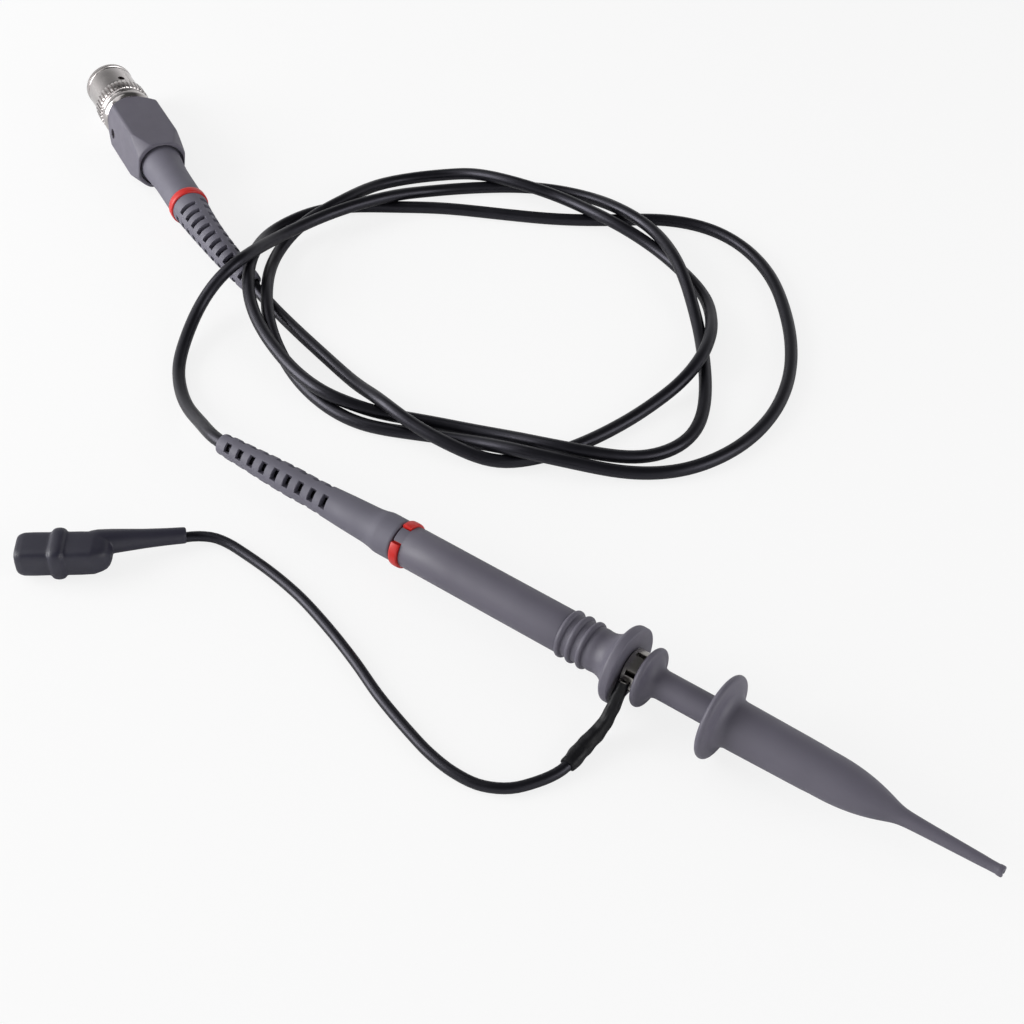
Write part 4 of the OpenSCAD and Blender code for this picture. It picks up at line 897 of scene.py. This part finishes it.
class PROBE_OT_collar(bpy.types.Operator):
    """The ground lead's push-on collar, its crimp and the heat-shrink over it"""

    bl_idname = "probe.collar"
    bl_label = "Ground collar"

    def execute(self, context):
        self.collar()
        self.shrink()
        return {"FINISHED"}

    def collar(self):
        """A cup with six slots in its wall, sprung fingers inside and a rolled crimp."""
        x0, x1, count, slot_half, cut_half = 123.39, 126.99, 144, 7.6, 6.3
        base = lathe([(x0, 2.52), (x0, 4.8), (x0 + 0.1, 4.9), (x0 + 0.8, 4.9), (x0 + 0.8, 2.52)])
        angle = around(count)
        mid = np.degrees(angle + math.pi / count)
        slots = np.abs((mid - 22 + 30) % 60 - 30) < slot_half
        opened = np.concatenate([np.zeros_like(slots), slots, slots])
        wall = turned_wall(column(x0 + 0.6, x0 + 0.85, x1 - 0.15, x1),
                           column(4.88, 4.9, 4.9, 4.8), 4.3, angle, opened)
        cuts = np.abs((mid + 30) % 60 - 30) < cut_half
        opened = np.concatenate([np.zeros_like(cuts), cuts, cuts])
        fingers = turned_wall(column(x0 + 0.6, x0 + 0.85, x1 - 0.9, x1 - 0.4),
                              column(3.0, 3.0, 2.95, 3.25), column(2.53, 2.53, 2.53, 2.8),
                              angle, opened)
        head = joined(base, wall, fingers)
        at, way = tail_start()
        path = at + np.linspace(-0.6, 3.6, 8)[:, None] * way
        roll = around(32)[0]
        outer = swept(path, 1.15, 1.15, roll)
        crimp = shell(outer, swept(path, 0.75, 0.75, roll))
        arm_path = np.array([[18.3, -4.35, AXIS_Z / MM + 1.2], [18.3, -4.9, AXIS_Z / MM + 1.6],
                             [18.3, -5.5, AXIS_Z / MM + 1.8]])
        arm = shell(swept(arm_path, 0.95, 0.35, around(24)[0]),
                    swept(arm_path, 0.5, 0.1, around(24)[0]))
        points = np.concatenate([on_head(head[0]), crimp[0] * MM, arm[0] * MM])
        faces = joined(head, crimp, arm)[1]
        # The darker nickel here is painted shade: the collar sits in the shade of the guard and the
        # disc.
        piece = made("ground_collar_spring", points, faces, "probe", "Rough nickel with painted shade",
                     ["ground_collar"])
        rounded(piece, 0.06 * MM)

    def shrink(self):
        """Sleeve drawn down on the lead: an oval tube whose radius puckers a little."""
        at, way = tail_start()
        knots = np.concatenate([[at - 0.4 * way, at + 2 * way, at + 4.6 * way], SHRINK_BENDS])
        path = resampled(knots, 0.3)
        run = np.linspace(0, 7, len(path))
        wide = np.interp(run, range(8), [1.5, 1.52, 1.56, 1.66, 1.95, 2.1, 2.1, 1.95])
        tall = np.interp(run, range(8), [1.5, 1.6, 1.8, 1.9, 1.95, 1.95, 1.85, 1.7])
        angle = around(64)
        n = np.arange(len(path))[:, None]
        pucker = (0.03 * np.sin(5 * angle + 0.11 * n) + 0.035 * np.sin(2 * angle - 0.23 * n)
                  * np.cos(0.31 * n) + 0.03 * np.cos(0.47 * n + angle))
        rim = 1 - 0.08 * (np.exp(-n / 1.2) + np.exp(-(len(path) - 1 - n) / 1.2))
        skin = swept(path, wide, tall, angle[0])
        core = path[:, None]
        outer = core + (skin - core) * ((rim - 0.03 + pucker)[..., None])
        points, faces = shell(outer, swept(path, 1.34, 1.34, angle[0]))
        made("lead_heatshrink_sleeve", points * MM, faces, "probe", "Heat-shrink",
             ["lead_heatshrink"])


class PROBE_OT_hook_tip(bpy.types.Operator):
    """Hook tube, return spring and sleeve of the hook tip"""

    bl_idname = "probe.hook_tip"
    bl_label = "Hook tip"

    def execute(self, context):
        s = context.scene.probe_head
        self.tube(s)
        self.spring(s)
        self.sleeve(s)
        return {"FINISHED"}

    def tube(self, s):
        """Tube turned with its disc, fillet and snap collar in one outline."""
        x, t, q = 127.29, s.tube_d / 2 / MM, 0.85
        r = s.disc_d / 2 / MM
        fillet = r - q - t
        snap = 157.49
        outline = [(x, 2.55)] + arc((x + q, r - q), q, 180, 0, 16)
        outline += arc((x + 2 * q + fillet, r - q), fillet, 180, 270, 14)
        outline += [(138, t), (148, t), (snap, t), (snap, t + 0.62), (snap + 0.1, t + 0.65),
                    (snap + 1.2, t + 0.65), (snap + 2, t), (snap + 2.5, t), (snap + 2.5, 1.7),
                    (142, 1.7), (142, 2.55)]
        points, faces = lathe(outline)
        made("hook_tip_tube", on_head(points), faces, "hook_tip", "Housing ABS", ["hook_tube"])

    def spring(self, s):
        """Closed-end helix: station rises with the turn, evenly but for its flat ends."""
        turns, wire, start, end = 8, 0.5, 159.99, 177.95
        q = np.linspace(0, turns, 40 * turns + 1)
        flat = 0.75
        f = np.clip((q - flat) / (turns - 2 * flat), 0, 1)
        x = (start + wire / 2 + 0.02 + np.minimum(q, flat) * wire
             + f * (end - start - wire * (1 + 2 * flat) - 0.04)
             + np.maximum(0, q - turns + flat) * wire)
        r = s.tube_d / 2 / MM - 0.15
        helix = np.stack([x, r * np.cos(2 * np.pi * q), r * np.sin(2 * np.pi * q)], -1)
        out = np.stack([0 * q, np.cos(2 * np.pi * q), np.sin(2 * np.pi * q)], -1)
        a = around(10)[0][None, :, None]
        ring = helix[:, None] + wire / 2 * (np.cos(a) * out[:, None] + np.sin(a) * [1, 0, 0])
        points, faces = capped(ring)
        piece = made("hook_return_spring", on_head(points), faces, "hook_tip", "Spring steel",
                     ["return_spring"])
        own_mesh(piece)

    def sleeve(self, s):
        """Sleeve: flange, body, ogive n + (f - n)(1 - t to the 2.3) run into the nozzle, slot."""
        x, b, f, n = 145.89, s.sleeve_d / 2 / MM, 5.2, 1.75
        g, q = s.flange_d / 2 / MM, 0.95
        outline = [(x, g - q - 0.6)] + arc((x + q, g - q), q, 180, 12, 14)
        outline += arc((x + 4.9, b + 2.5), 2.5, 182, 270, 14)
        outline += [(x + 8, b - 0.04), (x + 12, b - 0.11), (x + 15.8, b - 0.17),
                    (x + 20, b - 0.23), (x + 23.5, b - 0.3), (x + 25, b - 0.38)]
        run = np.concatenate([np.linspace(26, 41, 16), np.linspace(41.5, 48, 14),
                              np.linspace(49.5, 63, 10)])
        ogive = n + (f - n) * (1 - ((run - 26) / 18) ** 2.3)
        nozzle = np.interp(run, [26, 44, 66.3], [n, n, 1.15])
        both = (ogive + nozzle + np.hypot(ogive - nozzle, 0.7)) / 2
        outline += np.stack([x + run, both], -1).tolist()
        tip = x + 67.7
        outline += [(tip - 3.3, 1.18), (tip - 1.4, 1.15), (tip - 1.15, 1.25), (tip - 0.9, 1.28),
                    (tip - 0.3, 1.28), (tip - 0.1, 1.22), (tip, 1.1)]
        outline = np.array(outline)
        bore = np.where(outline[:, 0] < x + 11.3, 3.5, np.where(outline[:, 0] < 178, 4.15, 0.65))
        count, slot_width, nozzle_radius = 120, 0.9, 1.25
        angle = around(count)
        mid = (angle + math.pi / count)[0]
        half = math.asin(slot_width / 2 / nozzle_radius)
        slot = np.abs((mid - 1.5 * math.pi + math.pi) % (2 * math.pi) - math.pi) < half + 0.01
        stations = outline[:, 0]
        far = ((stations[:-1] + stations[1:]) / 2 > tip - 3.3)[:, None]
        opened = far & slot[None, :]
        points, faces = turned_wall(stations[:, None], outline[:, 1:], bore[:, None], angle,
                                    opened)
        made("hook_tip_sleeve", on_head(points), faces, "sleeve", "Housing ABS", ["hook_sleeve"])


def aimed(points, origin, way):
    """Points whose X axis is turned to a direction, level across, and moved to an origin."""
    x = way / np.linalg.norm(way)
    y = np.cross([0, 0, 1], x)
    y /= np.linalg.norm(y)
    return points @ np.stack([x, y, np.cross(x, y)]) + origin


def settled(piece):
    """Applies the piece's modifiers to its mesh and shades it smooth."""
    bpy.context.view_layer.update()
    graph = bpy.context.evaluated_depsgraph_get()
    mesh = bpy.data.meshes.new_from_object(piece.evaluated_get(graph))
    piece.modifiers.clear()
    old = piece.data
    piece.data = mesh
    bpy.data.meshes.remove(old)
    mesh.polygons.foreach_set("use_smooth", [True] * len(mesh.polygons))


class PROBE_OT_clip(bpy.types.Operator):
    """The crocodile clip's soft boot and its torsion spring"""

    bl_idname = "probe.clip"
    bl_label = "Crocodile clip"

    def execute(self, context):
        self.boot(context.scene.probe_cords)
        self.jaws()
        self.spring()
        return {"FINISHED"}

    def boot(self, s):
        """Rounded-square sections along the clip, (cos, sin) to the power 2 / n, then the neck."""
        w, h = s.clip_w / 2 / MM, s.clip_h / 2 / MM
        rows = [(-8.2, 0.9, 0.6, 2.2), (-8.05, 2.2, 1.6, 2.4), (-7.6, 3.1, 2.5, 2.8),
                (-6.9, 3.75, 3.1, 3.2), (-5.8, 4.15, 3.45, 3.8), (-4, w, h - 0.08, 4.2),
                (-1, w, h, 4.6), (2.3, w, h, 4.6), (2.6, w + 0.06, h + 0.06, 4.6),
                (2.75, w + 0.35, h + 0.35, 4.4), (3.1, w + 0.68, h + 0.68, 4.3),
                (3.7, w + 0.88, h + 0.86, 4.2), (4.4, w + 0.94, h + RIDGE, 4.2),
                (5.1, w + 0.88, h + 0.86, 4.2), (5.7, w + 0.68, h + 0.68, 4.3),
                (6.05, w + 0.35, h + 0.35, 4.4), (6.2, w + 0.02, h + 0.02, 4.6),
                (6.6, w - 0.05, h - 0.05, 4.8), (10.6, w - 0.05, h - 0.02, 5),
                (12.8, w - 0.12, h - 0.05, 5), (13.8, w - 0.4, h - 0.22, 4.6),
                (14.4, w - 0.75, h - 0.5, 4.2), (14.58, 3.45, 2.95, 4.4),
                (14.4, 3.3, 2.72, 6), (13.4, 3.3, 2.7, 8),
                (4, 3.3, 2.7, 8), (-5.4, 3.2, 2.6, 8), (-6, 2.6, 2, 4)]
        u, wide, tall, n = (np.array(k)[:, None] for k in zip(*rows))
        angle = around(72)
        c, q = np.cos(angle), np.sin(angle)
        y = wide * np.sign(c) * np.abs(c) ** (2 / n)
        z = tall * np.sign(q) * np.abs(q) ** (2 / n)
        body = capped(np.stack(np.broadcast_arrays(u, y, z), -1))
        outline = np.array([(9.5, 1.42), (0.1, 1.42), (0, 1.6), (0.02, 1.85), (0.3, 2.02),
                            (1.2, 2.05), (5, 2.15), (10, 2.4), (14, 2.72), (17.5, 3.0),
                            (20.8, 3.15), (22.5, 3.0), (23.8, 2.5), (24.4, 1.4), (24.5, 0.5)])
        cone = turned_grid(outline[:, :1], outline[:, 1:], around(48))
        cone = aimed(cone.reshape(-1, 3), NECK_TIP, NECK_ROOT - NECK_TIP).reshape(cone.shape)
        past = cone[..., 0] > -6.6
        cone[..., 1] = np.where(past, np.minimum(cone[..., 1], -0.4), cone[..., 1])
        points, faces = joined(body, capped(cone))
        lift = h + RIDGE - CLIP_AT[2] / MM
        piece = made("clip_soft_boot", on_clip(points + [0, 0, lift]), faces, None,
                     "Clip boot vinyl", ["clip_boot", "clip_boot_thumb"], 180)
        voxel = 0.26 * MM
        piece.modifiers.new("Union", "REMESH").voxel_size = voxel
        smooth = piece.modifiers.new("Moulding", "SMOOTH")
        smooth.factor, smooth.iterations = 0.5, 4
        settled(piece)
        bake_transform(piece)

    def jaws(self):
        """The two stamped jaws, drawn in where they stand out of the boot's nose."""
        for name, node, body in (("clip_fixed_jaw", "clip_jaw_fixed", "probe"),
                                 ("clip_moving_jaw", "clip_jaw_moving", "clip_jaw")):
            mesh = copy_of(node)
            points = np.array([v.co for v in mesh.vertices])
            along = np.array([math.cos(CLIP_TURN), math.sin(CLIP_TURN), 0])
            past = np.maximum((points - CLIP_AT) @ along - 13 * MM, 0)
            mesh.vertices.foreach_set("co", (points - 0.5 * past[:, None] * along).ravel())
            new_object(name, mesh, body, "Rough nickel with painted shade", [node])

    def spring(self):
        """Three turns about the pin, with two short legs."""
        q = np.linspace(0, 3, 97)
        helix = np.stack([1.45 * np.sin(2 * np.pi * q), 1.45 * np.cos(2 * np.pi * q),
                          0.4 * (q - 1.5)], -1)
        legs = np.array([[-2.6, 1.45, -0.6], [-1.3, 1.45, -0.6]])
        path = np.concatenate([legs, helix])
        points, faces = capped(swept(path, 0.2, 0.2, around(8)[0]))
        made("clip_torsion_spring", on_clip(points), faces, "probe", "Spring steel",
             ["clip_spring"])


def drilled(piece, start, end, radius, place):
    """Cuts a round hole from one point to another, both in a place's millimetres."""
    ring = turned_grid(np.array([[0], [np.linalg.norm(end - start)]]), radius, around(48))
    points, faces = capped(ring)
    points = place(aimed(points, start, end - start))
    cutter = bpy.data.objects.new("drill", mesh_from("drill", points, faces, 38))
    bpy.context.scene.collection.objects.link(cutter)
    cut = piece.modifiers.new("Hole", "BOOLEAN")
    cut.operation, cut.solver, cut.object = "DIFFERENCE", "EXACT", cutter
    settled(piece)
    bpy.data.objects.remove(cutter)


class PROBE_OT_plug(bpy.types.Operator):
    """Coupling nut, plug body, compensation box, cable boot and marker ring"""

    bl_idname = "probe.plug"
    bl_label = "Plug"

    def execute(self, context):
        s = context.scene.probe_plug
        self.nut(s)
        self.body(s)
        self.box(s)
        self.cable_boot(s)
        self.marker(s)
        return {"FINISHED"}

    def nut(self, s):
        """Rim, groove, barrel and a grip whose radius dips in forty straight grooves."""
        f, g, grooves = s.nut_front_d / 2 / MM, s.nut_d / 2 / MM, 40
        profile = np.array([
            (3.6, f - 0.42), (3.64, f - 0.25), (3.76, f - 0.08), (3.95, f), (4.9, f),
            (5.04, f - 0.04), (5.13, f - 0.16), (5.18, f - 0.34), (5.26, f - 0.38),
            (5.9, f - 0.38), (5.98, f - 0.34), (6.06, f - 0.2), (6.2, f - 0.12),
            (6.45, f - 0.1), (9, f - 0.1), (12, f - 0.1), (13.88, f - 0.1), (13.92, f - 0.1),
            (14.9, f - 0.1), (15.2, f - 0.14), (15.36, f - 0.16), (15.4, f - 0.1),
            (15.44, g - 0.4), (15.54, g - 0.22), (15.68, g - 0.08), (15.86, g), (17.5, g),
            (19.6, g), (19.78, g - 0.08), (19.9, g - 0.24), (19.98, g - 0.5), (20.1, g - 0.55),
            (20.8, g - 0.55), (21.1, g - 0.6), (21.3, g - 0.74), (21.4, g - 1)])
        x, crest = profile[:, :1], profile[:, 1:]
        grip = np.tile([1, 0.6, 0, 0, 0, 0, 0, 0.6], grooves)
        serration = np.tile([0.1, 0, 0, 0], 2 * grooves)
        radius = crest - np.maximum(crest - g + 0.52, 0) * grip * (x > 15.42)
        radius = radius - serration * ((x > 3.7) & (x < 5))
        bore = np.where(x < 13.9, 4.85, 4.15)
        angle = around(8 * grooves)
        points, faces = turned_wall(x, radius, bore, angle)
        piece = made("plug_coupling_nut", on_plug(points), faces, "nut", "Plated nickel",
                     ["bnc_nut"], 30)
        slot_end = np.array([13, 0, 0])
        for a in np.radians([74, 254]):
            way = np.array([0, math.cos(a), math.sin(a)])
            drilled(piece, slot_end + 4.5 * way, slot_end + 9 * way, 1.0, on_plug)
        piece.data.set_sharp_from_angle(angle=math.radians(30))

    def body(self, s):
        """Slotted contact, neck and round flange of the plug body."""
        f, count, slit_half = s.flange_d / 2 / MM, 200, 3.2
        angle = around(count)
        off = np.abs((np.degrees(angle + math.pi / count)) % 90 - 45) < slit_half
        opened = np.concatenate([off, off, off, np.zeros_like(off)])
        contact = turned_wall(column(5, 5.06, 5.2, 10, 12.4),
                              column(3.8, 3.95, 4.05, 4.05, 4.05), 3.45, angle, opened)
        outline = [(12.2, 3.3), (12.2, 4.6), (12.26, 4.71), (12.4, 4.75), (12.8, 4.75),
                   (12.94, 4.7), (13, 4.55), (13, 4.1), (21.8, 4.1), (21.8, f - 0.62),
                   (21.84, f - 0.42), (21.96, f - 0.2), (22.14, f - 0.06), (22.4, f), (23.5, f),
                   (23.74, f - 0.05), (24, f - 0.2), (24.62, f - 0.5), (24.76, f - 0.6),
                   (24.8, f - 0.75), (24.8, 4.98), (26, 4.98), (26, 2), (20, 2), (20, 3.3)]
        points, faces = joined(contact, lathe(outline, 160))
        made("plug_shell", on_plug(points), faces, "probe", "Plated nickel", ["bnc_body"], 30)

    def box(self, s):
        """Distance from the axis is the lesser of a rounded square's and a turned outline's.

        The square's is a / (|cos|^p + |sin|^p)^(1/p), and the two are blended as
        (r1^-k + r2^-k)^(-1/k), which leaves a small radius where they meet."""
        a, p, k = s.box_w / 2 / MM, 26.0, 90.0
        x = np.concatenate([[24.8, 24.84, 24.98, 25.16], np.linspace(25.3, 28.6, 23),
                            np.linspace(29.5, 45, 9), np.linspace(45.6, 53.6, 34),
                            [53.9, 54.08, 54.2]])
        turned = np.interp(x, [24.8, 28.2, 46.2, 54.2], [a, 9.9, 9.9, 7.9])
        inset = np.interp(x, [24.8, 24.84, 24.98, 25.16, 53.6, 53.9, 54.08, 54.2],
                          [0.4, 0.26, 0.08, 0, 0, 0.05, 0.16, 0.34])
        angle = around(288)
        square = a / (np.abs(np.cos(angle)) ** p + np.abs(np.sin(angle)) ** p) ** (1 / p)
        radius = (square ** -k + turned[:, None] ** -k) ** (-1 / k) - inset[:, None]
        bore = np.where(x < 26, 5.0, np.where(x < 50.19, 5.8, 6.9))
        points, faces = turned_wall(x[:, None], radius, bore[:, None], angle)
        piece = made("plug_compensation_box", on_box(points), faces, "probe", "Housing ABS",
                     ["comp_box"], 45)
        trimmer_x, trimmer_z, hole_radius = 29.8, -2, 1.5
        drilled(piece, np.array([trimmer_x, -9, trimmer_z]),
                np.array([trimmer_x, -5.2, trimmer_z]), hole_radius, on_box)
        piece.data.set_sharp_from_angle(angle=math.radians(45))

    def cable_boot(self, s):
        """Collar, dome and ribbed tail of the soft boot, bent as it lies."""
        n, e = s.neck_d / 2 / MM, s.tail_end_d / 2 / MM
        profile = [(50.25, 6.7), (50.3, 6.88), (52.68, 6.88), (52.7, 6.2), (54.2, n + 0.78),
                   (56, n + 0.62), (58.7, n + 0.38), (61, n + 0.18), (63.2, n + 0.07),
                   (68, n + 0.02), (75.9, n), (76.12, n - 0.06), (76.2, n - 0.2), (76.22, n - 0.38),
                   (78.78, n - 0.38), (78.8, n - 0.22), (78.9, n - 0.1), (79.2, n - 0.05),
                   (81, n - 0.2), (84, 4.85), (88, 4.6), (92, 4.35), (96, 4.15), (100, 3.97),
                   (104, 3.8), (108, 3.62), (112, 3.42), (114.4, 3.25), (115.6, e + 0.1),
                   (115.9, e), (116, e - 0.2)]
        bore = [(50, 2.15), (116, 2.15)]
        rows = np.radians([207, 297, 387, 117])
        points, faces = strain_relief_wall(profile, bore, (81.05, 3.3, 1.5, 10, math.radians(33)),
                                           rows, 117)
        piece = made("plug_strain_relief", on_plug(bent(points)), faces, "probe",
                     "Strain relief TPE", ["cable_boot"])
        rounded(piece, 0.16 * MM)

    def marker(self, s):
        """A plain crowned ring."""
        r, n = s.ring_d / 2 / MM, s.neck_d / 2 / MM
        outline = [(76.22, n - 0.36), (76.22, r - 0.32), (76.3, r - 0.14), (76.5, r - 0.03),
                   (77, r), (78, r), (78.5, r - 0.03), (78.7, r - 0.14), (78.78, r - 0.32),
                   (78.78, n - 0.36)]
        points, faces = lathe(outline)
        made("plug_marker_ring", on_plug(points), faces, "probe", "Marker ring PVC",
             ["connector_ring"])


class PROBE_OT_kept(bpy.types.Operator):
    """Finishes of the metal and moulded parts that keep their solid's own surface"""

    bl_idname = "probe.kept"
    bl_label = "Kept parts"

    def execute(self, context):
        for node, finish in KEPT_NODES.items():
            for place in NODES[node].material_slots:
                place.material = finishes()[finish]
        return {"FINISHED"}


class PROBE_PT_panel(bpy.types.Panel):
    """The pieces of the probe, and its sizes and colours"""

    bl_label = "Oscilloscope Probe"
    bl_idname = "PROBE_PT_panel"
    bl_space_type = "VIEW_3D"
    bl_region_type = "UI"
    bl_category = "Probe"

    def draw(self, context):
        for kind in OPERATORS:
            self.layout.operator(kind.bl_idname)
        for name, group in GROUPS.items():
            box = self.layout.box()
            for key in group.__annotations__:
                box.prop(getattr(context.scene, name), key)


GROUPS = {
    "probe_head": ProbeHeadSizes,
    "probe_cords": ProbeCordSizes,
    "probe_plug": ProbePlugSizes,
    "probe_colours": ProbeColours,
}
OPERATORS = (
    PROBE_OT_stage, PROBE_OT_head, PROBE_OT_collar, PROBE_OT_hook_tip, PROBE_OT_clip,
    PROBE_OT_plug, PROBE_OT_kept, PROBE_OT_cable, PROBE_OT_lead,
)


def register():
    """Registers the classes and hangs the property groups on the scene."""
    for name, group in GROUPS.items():
        bpy.utils.register_class(group)
        setattr(bpy.types.Scene, name, bpy.props.PointerProperty(type=group))
    for kind in (*OPERATORS, PROBE_PT_panel):
        bpy.utils.register_class(kind)


def unregister():
    """Takes the classes and the property groups away again."""
    for kind in (PROBE_PT_panel, *reversed(OPERATORS)):
        bpy.utils.unregister_class(kind)
    for name, group in GROUPS.items():
        delattr(bpy.types.Scene, name)
        bpy.utils.unregister_class(group)


def main():
    """Registers the classes and makes every piece in order."""
    register()
    for kind in OPERATORS:
        group, name = kind.bl_idname.split(".")
        getattr(getattr(bpy.ops, group), name)()


if __name__ == "__main__":
    main()
